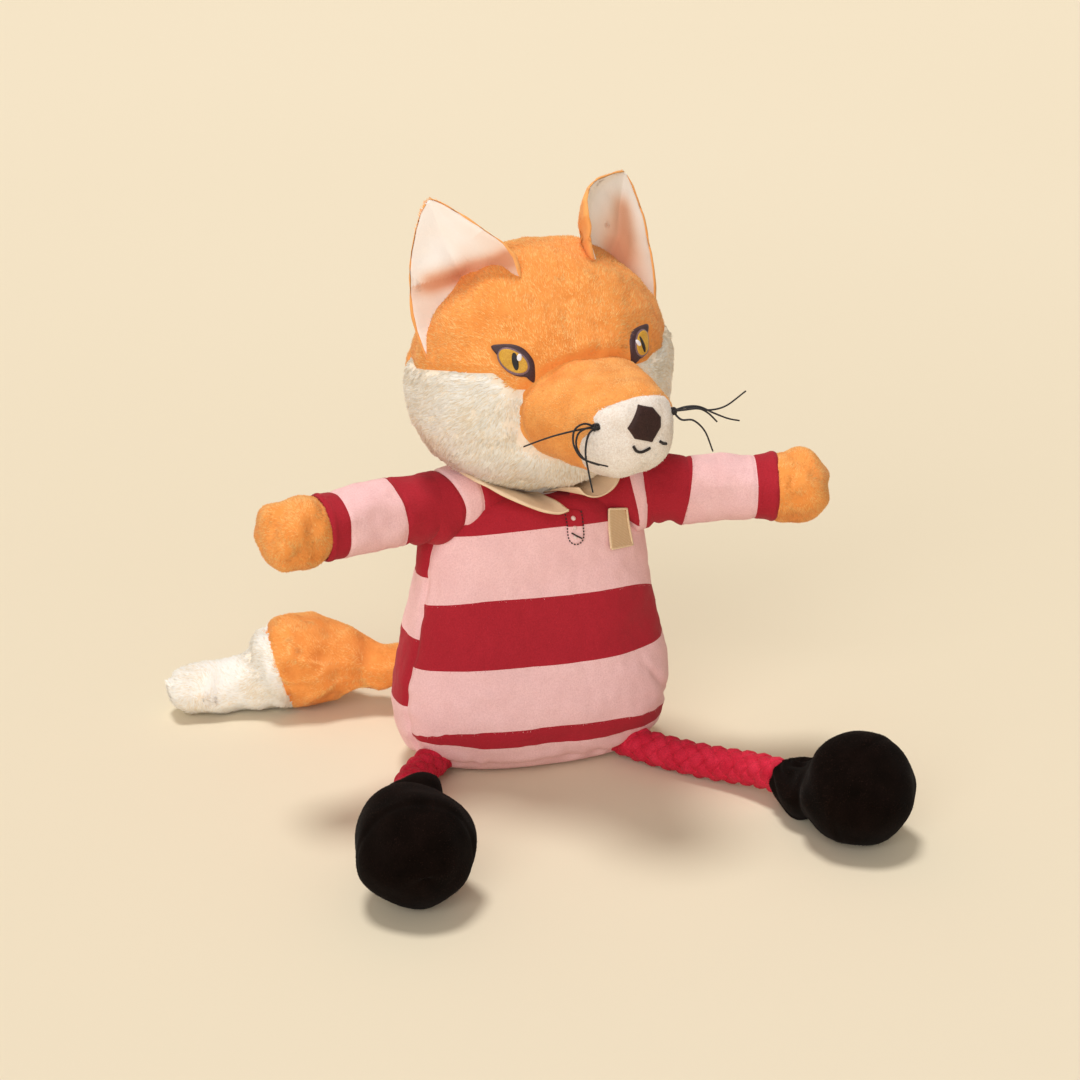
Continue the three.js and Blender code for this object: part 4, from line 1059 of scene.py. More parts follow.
# Pile of the head
clear = np.minimum(over_eye(face.points, "right"), over_eye(face.points, "left"))
weight = step(0.95, 1.05, clear) * step(-0.5, 1.0, gap)
cheek_zone = (own[..., 2] < CHEEK_TOP + cheek_rise(own)) & (own[..., 1] < CHEEK_WRAP)
roots, normal, read = face.scatter(112000, weight * ~cheek_zone)
spot = head.back(roots)
flow = np.stack([0.35 * spot[:, 0] / 50, 0.9 * np.ones(len(roots)), 0.25 - 0.6 * step(0, 40, spot[:, 1])], axis=1)
wander = stray(41, 24, 7, roots)
strands = lean(normal, unit(head.way(flow) + 0.25 * wander + np.array([0.1, 0.4, -0.15])), 10, 0.09)
length = draw.uniform(1.5, 2.6, len(roots)) * (0.55 + 0.45 * step(0, 4, off_muzzle(spot)))
crown_pile = pile("crown_pile", roots, normal, strands, length, 0.5, orange_tones,
                  choose(head_lumps(roots) * 0.3 + wander[:, 0] * 0.3, 4))
belong(crown_pile, "head")

CREAM_TONES = [(243, 229, 208), (249, 239, 222), (253, 247, 236), (255, 252, 246)]
cream_tones = tones("cream_pile", CREAM_TONES)
roots, normal, read = face.scatter(60000, step(-1.5, 0.5, gap) * cheek_zone)
spot = head.back(roots)
level = 0 * spot[:, 0]
down = np.stack([np.sign(spot[:, 0]) * (0.5 + level), 0.65 + level, -0.75 + level], axis=1)
cheek_wander = stray(51, 30, 8, roots)
strands = lean(normal, unit(head.way(down) + 0.3 * cheek_wander + np.array([0.2, 0.6, -0.2])), 11, 0.08)
strands, guide = clumps(roots, strands, 7.0, 0.35, 0.025)
length = draw.uniform(2.4, 4.2, len(roots)) * (0.6 + 0.4 * step(0, 7, off_muzzle(spot)))
droop = unit(guide - 0.12 * normal + draw.normal(0, 0.07, roots.shape))
cheek_pile = pile("cheek_pile", roots, normal, strands, length, 0.55, cream_tones,
                  choose(cheek_wander[:, 1] * 0.5 + 0.3, 4), bend=droop)
belong(cheek_pile, "head")

# Muzzle
rows = through(muzzle_rows, 150)
columns = 240
angle = np.arange(columns) / columns * 2 * np.pi
c, s = np.cos(angle), np.sin(angle)
square = np.where(s > 0, 2.0, SQUARE)
c = squared(c, square) * np.where(c > 0, MUZZLE_LEFT_SHARE, 1.0)
s = squared(s, square)
tall = np.where(s > 0, rows[:, 2:3], rows[:, 3:4])
own_muzzle = np.stack([rows[:, 1:2] * c, -rows[:, 0:1] + 0 * c, MUZZLE_DROP + tall * s], axis=2)
muzzle = Skin(head.out(own_muzzle), head.out([0, -50, MUZZLE_DROP]), caps=(False, True))
TIP_SEAM = np.array([
    [-30, -59], [-15.7, -65.8], [-11.7, -67], [-8.5, -68.7], [-5.5, -72.4], [-3.2, -74.2], [-0.1, -71.5],
    [2.3, -71.8], [4.4, -74.4], [5.8, -75.9], [20, -76.4],
])


def tip_edge(p):
    """How far a point of the head's frame lies behind the seam of the pale tip."""
    return p[..., 1] - np.interp(p[..., 2], TIP_SEAM[:, 0], TIP_SEAM[:, 1])


behind_tip = tip_edge(own_muzzle)
out_of_head = off_head(own_muzzle)
snout_lumps = Waves(61, 30, 10)
shift = 0.35 * snout_lumps(own_muzzle) - 1.0 * bump(out_of_head, 2.0) - 0.5 * bump(behind_tip, 1.2)
muzzle.press(shift * step(-1.0, -0.97, -np.abs(own_muzzle[..., 1]) / MUZZLE_REACH * 0.96))
muzzle.fields["tip"] = behind_tip
paint = Paint("muzzle_velour")
at = paint.field("rest")
is_tip = paint.add("Math", {0: paint.field("tip", "Fac"), 1: 0.0}, operation="LESS_THAN").outputs[0]
fine = paint.noise(at, 0.6, 2.0, 0.6)
patches = paint.range(paint.noise(at, 8.0), 0.3, 0.7)
orange = paint.mix(patches, linear((236, 150, 72)), linear((252, 176, 96)))
white = paint.mix(patches, linear((240, 230, 220)), linear((250, 244, 238)))
colour = paint.mix(is_tip, orange, white)
colour = paint.mix(paint.range(fine, 0.35, 0.6, 0.25, 0.0), colour, linear((180, 130, 90)))
muzzle_material = paint.done(colour, 0.92, fine, 0.35, 0.3, 0.06, specular=0.12)
belong(dress("muzzle_cloth", muzzle, [muzzle_material]), "head",
       ["muzzle_panel", "muzzle_tip", "muzzle_stuffing"])
muzzle_tree = tree_of(muzzle)

# Nose and mouth, in a plane ahead of the muzzle
snout = Place(head.out([0, 0, 0]), head.basis @ turn("x", 90))
NOSE = [[-1.4, 4.0], [4.6, 1.9], [7.4, -1.9], [6.9, -5.4], [2.6, -10.2], [-4.4, -7.6], [-6.9, -3.4], [-4.6, -0.4]]
nose_thread = thread("nose_thread", (76, 50, 46), (40, 26, 24), 0.4, 0.6, 0.04, 0.2)
corners = []
for before, at, after in zip(np.roll(NOSE, 1, axis=0), np.array(NOSE), np.roll(NOSE, -1, axis=0)):
    corners += [at + (before - at) * 0.22, at, at + (after - at) * 0.22]
nose = patch("nose_pad", muzzle_tree, snout, corners, 1.2, [nose_thread], 0.5, (1, 0.05), 0.14, 26, 0.0, 8.0)
belong(nose, "head", ["nose"])


def on_snout(flat, raise_by):
    return lift_on(muzzle_tree, snout, np.array(flat, float)) + snout.way([0, 0, 1]) * raise_by


dark_thread = thread("dark_thread", (46, 34, 34), (20, 14, 14), 0.3)
MOUTH = [
    [[-5.0, -10.2], [-3.8, -12.2], [-1.6, -13.0], [1.8, -12.2]],
    [[6.1, -10.6], [7.6, -11.8], [9.2, -12.4]],
]
mouth_parts = [thread_tube(on_snout(through(curve, 26), 0.35), 0.55) for curve in MOUTH]
belong(bundle("mouth_thread", mouth_parts, dark_thread), "head", ["mouth_stitches"])

# Pile of the muzzle: very short
flat = snout.back(muzzle.points)[..., :2]
NOSE_MIDDLE, NOSE_REACH = np.array([0.4, -3.0]), [7.4, 7.6]
near_nose = np.linalg.norm((flat - NOSE_MIDDLE) / NOSE_REACH, axis=2)
front_of_muzzle = own_muzzle[..., 1] < -60
open_snout = np.where(front_of_muzzle, step(0.95, 1.1, near_nose), 1.0) * step(-1.0, 0.5, out_of_head)
roots, normal, read = muzzle.scatter(60000, open_snout)
spot = head.back(roots)
is_tip = tip_edge(spot) < draw.normal(0, 0.25, len(roots))
wander = stray(71, 18, 6, roots)
strands = lean(normal, unit(head.way([0, 1, -0.3]) + 0.3 * wander), 13, 0.13)
WHITE_TONES = [(238, 228, 218), (248, 242, 236), (255, 252, 250)]
white_tones = tones("white_pile", WHITE_TONES)
pick = np.where(is_tip, 4 + choose(wander[:, 1], 3), choose(snout_lumps(roots) + wander[:, 0] * 0.5, 4))
snout_pile = pile("muzzle_pile", roots, normal, strands, draw.uniform(0.9, 1.5, len(roots)), 0.42,
                  orange_tones + white_tones, pick, soft=0.3)
belong(snout_pile, "head")

# Whiskers: stiff dark threads from a knot on each side of the tip
whisker_thread = thread("whisker_thread", (40, 34, 36), (16, 12, 14), 0.3)
WHISKER_ROOT = np.array([16, -74, -3.2])
WHISKERS = {
    "right": [
        [[0, 0, 0], [5.5, -1, 0], [13.3, -3.6, -1.3], [18.9, -6.2, -3.1], [24.2, -9.4, -5.5]],
        [
            [0, 0, 0], [4.1, -1.1, 1.8], [8.1, -1, 0.2], [9.6, 0.9, -4.2], [8, 3.3, -8.7], [3.9, 5.1, -11],
            [-0.9, 6.6, -12.8],
        ],
        [[0, 0, 0], [3.6, -0.5, 0.2], [7.1, -0.5, -1.5], [8.4, 0.9, -5.7], [6.2, 3.1, -10], [1.7, 5, -12.4]],
        [[0, 0, 0], [3.5, 0.8, -1.8], [6, 2.9, -7.2], [6.2, 5.2, -13.8], [5.7, 7.2, -21.1]],
    ],
    "left": [
        [[0, 0, 0], [3.4, 1.8, 1.2], [7.3, 4.2, 1.2], [11.3, 6.6, 0.3], [17.2, 8.6, 1.4], [25, 9.6, 5.9]],
        [[0, 0, 0], [3.2, 3, 0.8], [7.5, 5.6, 1.2], [10.5, 7.2, -0.5], [13.5, 8.6, -4]],
        [[0, 0, 0], [4.2, 2.1, 1.5], [8.4, 4.6, 1.5], [12.7, 7.8, -0.8], [16.9, 10.5, -2.8], [20.8, 12.1, -3.9]],
        [[0, 0, 0], [1.5, 3.6, -2.4], [5, 6.1, -2.6], [8.2, 8.8, -6.5], [10, 11.5, -13.8]],
    ],
}
for word, side in SIDES:
    root = head.out(WHISKER_ROOT * [side, 1, 1])
    hit = muzzle_tree.find_nearest(Vector(root))
    root = np.array(hit[0]) + np.array(hit[1]) * 0.4
    parts = []
    for strand in WHISKERS[word]:
        points = np.array(strand, float) * [side, -1, 1]
        path = root + head.way(through(points, 44))
        parts.append(thread_tube(path, np.linspace(0.42, 0.3, 44)))
    for k in range(4):
        turn_angle = np.linspace(0, 2 * np.pi, 22)
        ring = np.stack([1.3 * np.cos(turn_angle), 0.5 * np.sin(3 * turn_angle + k), 1.3 * np.sin(turn_angle)], axis=1)
        spin = turn("z", 45 * k) @ turn("x", 30 * k)
        parts.append(thread_tube(root + ring @ spin.T, 0.42))
    threads = bundle(f"{word}_whisker_threads", parts, whisker_thread)
    belong(threads, "head", [f"{word}_whiskers"])

# Ears: a pale lining in front and an orange back that shows as a rim
EAR_HEIGHT = 43.0
EAR_STEPS = [-0.3, 0.0, 0.15, 0.3, 0.45, 0.6, 0.75, 0.87, 0.95, 1.0]
EAR_OUTER = {
    -1: [22.5, 23.0, 22.8, 21.8, 19.8, 17.0, 13.0, 8.6, 4.8, 1.2],
    1: [19.0, 19.5, 19.3, 18.4, 16.8, 14.2, 11.2, 7.8, 4.8, 1.2],
}
EAR_INNER = {
    -1: [22.0, 23.0, 23.6, 21.6, 17.8, 13.6, 9.4, 5.8, 3.2, 1.2],
    1: [16.0, 20.0, 28.5, 31.5, 30.5, 27.0, 19.5, 11.2, 5.6, 1.4],
}
EAR_YAW, EAR_TILT = {-1: 24, 1: 12}, math.radians(36)
EAR_ROOT, EAR_WAY = np.array([33, -9, 26.0]), np.array([0.20, 0.33, 0.92])
# Tones of the lining, from painted shade deep in its fold up to its lit colour
LINING_SHADE_TO_LIT = [
    (224, 160, 128), (232, 178, 150), (239, 196, 172), (245, 214, 196), (249, 228, 216), (252, 239, 231),
    (254, 247, 242),
]
lining_shade_to_lit_tones = tones("lining_pile", LINING_SHADE_TO_LIT)
lining_paint = Paint("ear_velour")
lining_fine = lining_paint.noise(lining_paint.field("rest"), 0.7, 2.0, 0.6)
# The lining's colour: painted shade where its paleness is low, in the fold
lining_shaded_colour = lining_paint.ramp(
    lining_paint.field("pale", "Fac"), [(k / 6, colour) for k, colour in enumerate(LINING_SHADE_TO_LIT)], False
)
ear_lining_base = lining_paint.done(lining_shaded_colour, 0.92, lining_fine, 0.3, 0.3, 0.05)
# A lighter copy of the orange ground for the ears' backs: painted light, so that their rims look lit
lit_ear_ground = cloth("lit_ear_ground", (255, 190, 120), (250, 172, 98), 0.8, 7.0, sheen=0.06)


def ear_shaded_paleness(side, u, v):
    """How pale the lining is: painted shade makes it darker and warmer where it lies deep in the fold."""
    if side < 0:
        line = v - 0.34 - 0.17 * u
        return 1 - 0.9 * bump(line, 0.085) * step(-1.0, -0.5, -u) - 0.45 * np.where(line < 0, bump(line, 0.30), 0) - (
            0.25 * step(0.5, 1.0, -u) * (v < 0.5)
        )
    return 1 - 0.85 * bump(u - 0.08 - 0.1 * v, 0.5) * (1 - step(0.70, 0.92, v)) - 0.3 * step(-0.3, 0.4, u) * (
        1 - step(0.3, 0.9, v)
    )


def ear_point(side, u, v, depth, grow=0.0):
    level = math.cos(EAR_TILT)
    across = np.array([
        side * level * math.cos(math.radians(EAR_YAW[side])), level * math.sin(math.radians(EAR_YAW[side])),
        -math.sin(EAR_TILT),
    ])
    root = EAR_ROOT * [side, 1, 1]
    rise = EAR_WAY * [side, 1, 1] * EAR_HEIGHT
    behind = unit(np.cross(across, rise))
    behind = behind if behind[1] > 0 else -behind
    outer, inner = (np.interp(v, EAR_STEPS, widths[side]) for widths in (EAR_OUTER, EAR_INNER))
    half = np.where(u > 0, outer, inner) + grow
    crease = 3.0 * np.clip(1 - np.abs(u) / 0.33, 0, None) ** 1.5
    cup = (7.0 * (1 - u * u) + crease) * np.clip(1 - v, 0, 1)
    dent = 1.6 * np.sin(v * 9 + u * 1.5) * (1 - u * u) * np.clip(v * 3, 0, 1) * np.clip(1.4 - v * 1.3, 0, 1)
    crease_line = v - 0.30 - 0.16 * u
    if side < 0:
        curl = -3.2 * step(0.45, 1.0, -u) * bump(v - 0.3, 0.4)
        curl = curl + 3.4 * bump(crease_line, 0.10) * np.clip(1.1 - np.abs(u), 0, 1)
        aside = u
    else:
        fold = step(0.62, 1.05, -u) * np.clip(1.25 - v * 1.1, 0, 1) * step(-0.15, 0.3, v)
        curl = -6.8 * fold
        aside = u + 0.1 * fold**1.5
    return (
        root + rise * v[..., None] + across * (aside * half)[..., None]
        + behind * (cup + dent + curl + depth)[..., None]
    )


for word, side in SIDES:
    root = head.out(EAR_ROOT * [side, 1, 1])
    tip_way = head.way(EAR_WAY * [side, 1, 1])
    bend = ("head", f"{word}_ear", root + tip_way * 1.0, root + tip_way * 12.0)
    for layer, near, far, grow, materials, slot, node in (
        ("lining", 0.2, 1.6, 0.1, [ear_lining_base], "ear_lining", "ear_lining"),
        ("back", 1.3, 3.2, 0.5, [lit_ear_ground], "orange_plush", "ear_back"),
    ):
        height = np.linspace(-0.24, 1.0, 90)
        spread = np.linspace(-1, 1, 70)
        u = np.concatenate([spread, spread[::-1]])[None] * np.ones((90, 1))
        v = height[:, None] * np.ones((1, 140))
        thick = (far - near) / 2
        round_edge = thick * np.sqrt(np.clip(1 - np.abs(u) ** 14, 0, 1))
        middle_depth = (near + far) / 2
        face_sign = np.concatenate([-np.ones(70), np.ones(70)])[None]
        lap = np.where(layer == "back", -2.2, 0.0) * step(0.93, 1.0, np.abs(u)) * (face_sign < 0)
        depth = middle_depth + face_sign * round_edge + lap
        points = head.out(ear_point(side, u, v, depth, grow))
        skin = Skin(points, head.out(ear_point(side, np.array(0.0), np.array(0.4), np.array(middle_depth))))
        skin.press(0.25 * small_lumps(points * 0.6))
        # Paleness of the lining, lowered by painted shade in the fold
        skin.fields["pale"] = np.clip(ear_shaded_paleness(side, u, v), 0.0, 1.0)
        leaf = dress(f"{word}_ear_{layer}_cloth", skin, materials)
        belong(leaf, bend, [f"{word}_{node}"])
        roots, normal, read = skin.scatter(
            22000 if layer == "back" else 16000,
            step(-0.1, 0.0, v) * (off_head(head.back(points)) > -0.5) * (np.abs(u) < 0.9),
        )
        comb = unit(tip_way + np.array([0, 0.6, 0]) + 0.25 * Waves(81, 14, 5)(roots)[:, None])
        strands = lean(normal, comb, 10, 0.09)
        if layer == "back":
            fur = pile(f"{word}_ear_back_pile", roots, normal, strands, draw.uniform(1.0, 1.9, len(roots)), 0.42,
                       orange_tones, choose(small_lumps(roots), 4))
        else:
            # The lining's pile takes the darker tones in the fold: painted shade
            fur = pile(f"{word}_ear_lining_pile", roots, normal, strands, draw.uniform(0.7, 1.2, len(roots)), 0.4,
                       lining_shade_to_lit_tones, np.clip(
                           np.round(read(skin.fields["pale"]) * 6 + draw.normal(0, 0.5, len(roots))), 0, 6
                       ).astype(int), soft=0.3)
        belong(fur, bend)

# Feet: velour balls with a ring seam, a gathered neck and a pointed flap over the rope
FOOT_RADIUS, FOOT_CENTRE = 21.8, {"right": 38.0, "left": 34.6}
black_base = cloth("black_velour", (21, 12, 9), (11, 6, 4), 0.7, 9.0, 0.95, 0.02, specular=0.03)
black_tones = tones("black_pile", [(8, 4, 3), (19, 11, 8), (40, 26, 21)], 0.95, 0.03, 0.03)
for word in ("right", "left"):
    ankle, heading = feet_at[word]
    place = Place(ankle, turn("z", heading))
    centre = FOOT_CENTRE[word]
    if word == "right":
        rows, first_turn, sink = [[-1.5, 7.2], [2.0, 8.8], [6.0, 10.4], [12.0, 12.6], [centre - 19.6, 14.2]], 136, 0.0
    else:
        rows, first_turn, sink = [[-1.5, 8.0], [2.0, 9.4], [6.0, 11.0], [10.0, 12.4], [14.0, 13.4]], 140, 0.7
    for k in range(14):
        a = math.radians(first_turn * (1 - k / 13)) if k < 13 else 0.004
        rows.append([centre + math.cos(a) * FOOT_RADIUS, math.sin(a) * FOOT_RADIUS])
    grid = around(through(np.array(rows), 130), 190)
    along = grid[..., 0]
    fall = FOOT_RADIUS - 0.5 - ankle[2]
    grid[..., 2] += fall * step(2 if word == "right" else 8, 26, along) - sink * bump(along - 10, 6)
    if word == "right":
        grid[..., 1] -= 1.9 * step(6, 26, along)
    angle = np.arctan2(grid[..., 2] - fall, grid[..., 1])
    skin = Skin(place.out(grid), place.out([centre, 0, fall]), caps=(False, True))
    ball_lumps = Waves(91, 30, 10)
    seam_at = centre + FOOT_RADIUS * 0.28
    gather = np.sin(9 * angle + 1.5 * ball_lumps(grid)) * bump(along - 6, 9)
    shift = 0.35 * ball_lumps(skin.points) + 0.7 * gather
    shift += 0.15 * bump(along - seam_at + 2.6, 1.8) - 0.3 * bump(along - seam_at, 1.2)
    if word == "right":
        flap = np.where(angle < 1.1, bump(angle - 1.1, 0.36), bump(angle - 1.1, 1.0))
        shift += 8.5 * bump(along - 16, 6.0) * flap + 3.0 * bump(along - 24, 7) * bump(angle - 2.2, 0.5)
        shift -= 1.1 * (bump(angle + 0.7, 0.7) + 0.7 * bump(angle + 2.4, 0.5)) * step(16, 34, along)
    skin.press(shift)
    flat_part = np.maximum(skin.points[..., 2], 0.15 + 0.12 * np.clip(1.5 - skin.points[..., 2], 0, 1))
    skin.points[..., 2] = flat_part
    skin.normals = skin.work_out()
    shell = dress(f"{word}_foot_cloth", skin, [black_base])
    belong(shell, f"{word}_foot",
           [f"{word}_foot_side", f"{word}_foot_disc", f"{word}_foot_stuffing"])
    roots, normal, read = skin.scatter(46000, 0.03 + step(0.3, 3.0, skin.points[..., 2]))
    spot = place.back(roots)
    spin = np.cross(spot - [centre, 0, fall], [1, 0, 0])
    way = np.where(spot[:, :1] > seam_at, place.way(unit(spin)), place.way([-1, 0, 0]))
    strands = lean(normal, unit(way + 0.3 * Waves(92, 20, 6)(roots)[:, None]), 12, 0.12)
    fur = pile(f"{word}_foot_pile", roots, normal, strands, draw.uniform(0.7, 1.3, len(roots)), 0.42, black_tones,
               choose(ball_lumps(roots) + small_lumps(roots), 3), soft=0.3)
    belong(fur, f"{word}_foot")

# Tail: it lies on the floor, crumpled, and swells before its long-haired tip
TAIL_REACH, TAIL_RADIUS, ROOT_HEIGHT = 140.0, 19.5, 19.0
TAIL_AT = np.array([-2.9, 42.18, ROOT_HEIGHT])
SEAM_AT, SEAM_LEAN = 0.67, 0.07
TAIL_SHARES = [
    [0.00, 0.00, 0.45, 0.53], [0.09, 0.06, 0.46, 0.50], [0.20, 0.09, 0.50, 0.50], [0.33, 0.12, 0.53, 0.46],
    [0.40, 0.15, 0.60, 0.40], [0.46, 0.17, 0.78, 0.28], [0.52, 0.19, 0.96, 0.12], [0.58, 0.205, 1.05, 0.05],
    [0.64, 0.215, 1.06, 0.04], [0.69, 0.22, 0.93, 0.02], [0.74, 0.22, 0.70, 0.02], [0.80, 0.22, 0.58, 0.04],
    [0.89, 0.22, 0.54, 0.08], [0.96, 0.22, 0.48, 0.16], [0.99, 0.22, 0.34, 0.28],
]
rows = np.array([
    [-TAIL_REACH * a, TAIL_REACH * b, TAIL_RADIUS * (r + l) - 0.5 - ROOT_HEIGHT, TAIL_RADIUS * r]
    for a, b, r, l in TAIL_SHARES
])
rows = np.vstack([[[8, -9, 2, 5.0], [5.5, -4, 1, 5.8]], rows, [[-141.5, 30.8, -3.0, 0.6]]])
rows = through(rows, 230)
spine, girth = rows[:, :3] + TAIL_AT, rows[:, 3]
level_way = np.gradient(spine, axis=0)
level_way[:, 2] *= 0.3
level_way = unit(level_way)
across = unit(np.cross(level_way, [0, 0, 1.0]))
upward = np.cross(across, level_way)
angle = np.arange(170) / 170 * 2 * np.pi
points = spine[:, None] + girth[:, None, None] * (
    across[:, None] * np.cos(angle)[None, :, None] + upward[:, None] * np.sin(angle)[None, :, None]
)
tail = Skin(points).facing(points - spine[:, None])
crumple = Waves(101, 34, 16)
folds = 1 - 2 * np.abs(crumple(points * [1.0, 1.0, 1.6]))
plain = Waves(102, 30, 9)
share = (TAIL_AT[0] - points[..., 0]) / TAIL_REACH
seam_share = SEAM_AT + SEAM_LEAN * (points[..., 2] - ROOT_HEIGHT) / (2 * ROOT_HEIGHT)
orange_zone = 1 - step(-0.01, 0.01, share - seam_share)
shift = orange_zone * (0.45 * folds + 0.7 * plain(points) - 0.2) * step(0.02, 0.1, share)
shift += (1 - orange_zone) * 0.6 * plain(points)
shift -= 1.2 * bump((share - seam_share) * TAIL_REACH, 1.8)
tail.press(shift)
tail.points[..., 2] = np.maximum(tail.points[..., 2], 0.15)
tail.normals = tail.work_out()
tail.fields["tip"] = share - seam_share
whole = dress("tail_whole", tail, [orange_base])
lean_way = unit(np.array([1.0, 0, SEAM_LEAN * TAIL_REACH / (2 * ROOT_HEIGHT)]))
seam_point = TAIL_AT + [-TAIL_REACH * SEAM_AT, 0, 0]
tail_bend = ("tail_base", "tail", TAIL_AT + [4, -2, 0], TAIL_AT + [-12, 6, -3])
orange_tail = cut(whole, "tail_cloth", [(seam_point, -lean_way)])
belong(orange_tail, tail_bend, ["tail_panel", "tail_root", "tail_stuffing"])
pale_tail = cut(whole, "tail_tip_cloth", [(seam_point, lean_way)])
recover(pale_tail, cream_base)
belong(pale_tail, "tail", ["tail_tip"])
drop(whole)
roots, normal, read = tail.scatter(90000, (0.04 + step(0.3, 3, tail.points[..., 2])) * (share < seam_share))
wander = stray(111, 16, 6, roots)
strands = lean(normal, unit(np.array([-0.5, 0.8, -0.1]) + 0.3 * wander), 9, 0.08)
# The tail pile's tones follow the folds as well as chance: painted light on the folds' ridges and painted shade in
# their creases
fur = pile("tail_pile", roots, normal, strands, draw.uniform(1.4, 2.5, len(roots)), 0.5, orange_tones,
           choose(read(folds) * 0.6 + wander[:, 0] * 0.25, 4))
belong(fur, tail_bend)
roots, normal, read = tail.scatter(52000, (0.04 + step(0.3, 3, tail.points[..., 2])) * (share > seam_share - 0.01))
wander = stray(121, 26, 8, roots)
strands = lean(normal, unit(np.array([-0.45, 0.8, 0.0]) + 0.3 * wander), 13, 0.09)
strands, guide = clumps(roots, strands, 6.0, 0.3, 0.03)
droop = unit(guide - 0.12 * normal + draw.normal(0, 0.07, roots.shape))
fur = pile("tail_tip_pile", roots, normal, strands, draw.uniform(2.0, 3.4, len(roots)), 0.5, cream_tones,
           choose(wander[:, 1] * 0.5 + 0.9, 4), bend=droop)
belong(fur, "tail")

# Collar: two leaves of smooth cloth that slope down from the neck
collar_material = cloth("collar_cloth", (250, 226, 194), (240, 210, 176), 0.5, 14.0, 0.9, 0.05, 0.25)
COLLARS = {
    "right": [
        [7.0, -30.5, 116.4], [2.5, -31.0, 115.8], [-4, -30.5, 117.5], [-12, -29, 121.0], [-21, -26, 125.6],
        [-29, -20, 129.4], [-34, -8, 130.8], [-31, 6, 128.5], [-20, 17, 124.5], [-6, 23, 121.5], [0, 23.5, 121],
    ],
    "left": [
        [11.4, -28.5, 124.5], [14.5, -29.5, 121.6], [20, -29.0, 120.6], [26, -26, 122.4], [30, -22, 126.4],
        [34, -14, 129.6], [35, -4, 130.6], [31, 8, 128.5], [20, 17, 124.5], [7, 23, 121.5], [0.6, 23.5, 121],
    ],
}
for word, line in COLLARS.items():
    side = -1 if word == "right" else 1
    outer = through(line, 130)
    turn_share = np.linspace(0, 1, 130)
    ring = np.radians(-90 + side * (4 + 174 * turn_share))
    inner = np.stack([16.5 * np.cos(ring), 15.5 * np.sin(ring) + 2, 119.0 + 0 * ring], axis=1)
    across_share = np.linspace(0, 1, 34)[:, None, None]
    leaf = inner * (1 - across_share) + outer * across_share
    leaf[..., 2] += 2.2 * np.sin(np.pi * across_share[..., 0]) * (0.4 + 0.6 * step(0, 0.2, turn_share))
    under = leaf[::-1].copy()
    under[..., 2] -= 1.1
    rows = np.vstack([leaf, under])
    rings = rows.transpose(1, 0, 2)
    upper_side = np.zeros_like(rings)
    upper_side[:, 5:25, 2] = 1
    skin = Skin(rings).facing(upper_side)
    skin.press(0.2 * small_lumps(skin.points * 0.5))
    piece = dress(f"collar_leaf_{word}", skin, [collar_material])
    belong(piece, "torso", [f"collar_{word}"])

# Placket, buttons and the bare patch, laid on the chest
chest_tree = tree_of(torso, raglans["left"])


def chest(flat):
    """Points of the chest, from how far aside they are in the shirt's front and how high."""
    flat = np.asarray(flat, float)
    start = flat[:, :1] * AWAY + np.column_stack([0 * flat[:, 1], 0 * flat[:, 1], flat[:, 1]]) + AHEAD * 90
    found, outwards = np.empty_like(start), np.empty_like(start)
    for k, point in enumerate(start.tolist()):
        hit, normal, _, _ = chest_tree.ray_cast(Vector(point), Vector(-AHEAD))
        found[k], outwards[k] = hit, normal
    return found, outwards


def smooth_chest(flat):
    """The same for a stiff patch, which bridges the seams under it."""
    found, outwards = chest(flat)
    flat = np.asarray(flat, float)
    u, v = (flat - flat.mean(axis=0)).T / 10
    terms = np.column_stack([u * 0 + 1, u, v, u * u, u * v, v * v])
    rise = found @ AHEAD
    fitted = terms @ np.linalg.lstsq(terms, rise, rcond=None)[0] + 1.2
    steady = unit(outwards.mean(axis=0))
    return found + AHEAD * (fitted - rise)[:, None], np.broadcast_to(steady, found.shape)


def laid(name, outline, thick, materials, rings=14, blunt=8.0, on=chest, count=90):
    outline = through(outline, count, closed=True) if blunt < 50 else np.array(outline)
    flat, share = fan(outline, rings)
    spots, outwards = on(flat.reshape(-1, 2))
    height = thick * (1 - share ** min(blunt, 30)) ** 0.5
    points = spots.reshape(*flat.shape[:2], 3) + outwards.reshape(*flat.shape[:2], 3) * height[:, None, None]
    return dress(name, Skin(points, caps=(True, False)).facing(AHEAD), materials)


PLACKET_ASIDE, PLACKET_FOOT = 3.9, 99.9
strip = [[-3, 13], [-3, 8], [-3, 3.2], [-2.1, 0.9], [0, 0], [2.1, 0.9], [3, 3.2], [3, 8], [3, 13]]
strip = np.array(strip) + [PLACKET_ASIDE, PLACKET_FOOT]
placket = laid("placket_strip", strip, 0.9, [shirt_material])
level = front_level(np.array([v.co for v in placket.data.vertices]) / MM)
for label, values in (("level", level), ("height", level), ("ahead", 0 * level + 1)):
    placket.data.attributes.new(label, "FLOAT", "POINT").data.foreach_set("value", values.astype(np.float32))
belong(placket, "torso", ["placket"])
line = through(strip, 120)
stitches = []
for k in range(0, 116, 5):
    spots, outwards = chest(line[k : k + 4])
    stitches.append(thread_tube(spots + outwards * 0.7, [0.15, 0.3, 0.3, 0.15], 6))
spots, outwards = chest(through(np.array([[-1.8, 5.0], [1.9, 2.6]]) + [PLACKET_ASIDE, PLACKET_FOOT], 8))
stitches.append(thread_tube(spots + outwards * 1.9, 0.32, 6))
belong(bundle("placket_stitching", stitches, dark_thread), "torso")
button_paint = Paint("button_shell")
shell_tone = button_paint.mix(
    button_paint.range(button_paint.noise(button_paint.field("rest"), 1.2), 0.3, 0.7),
    linear((224, 190, 188)), linear((246, 226, 222)),
)
button_material = button_paint.done(shell_tone, 0.35, specular=0.5)
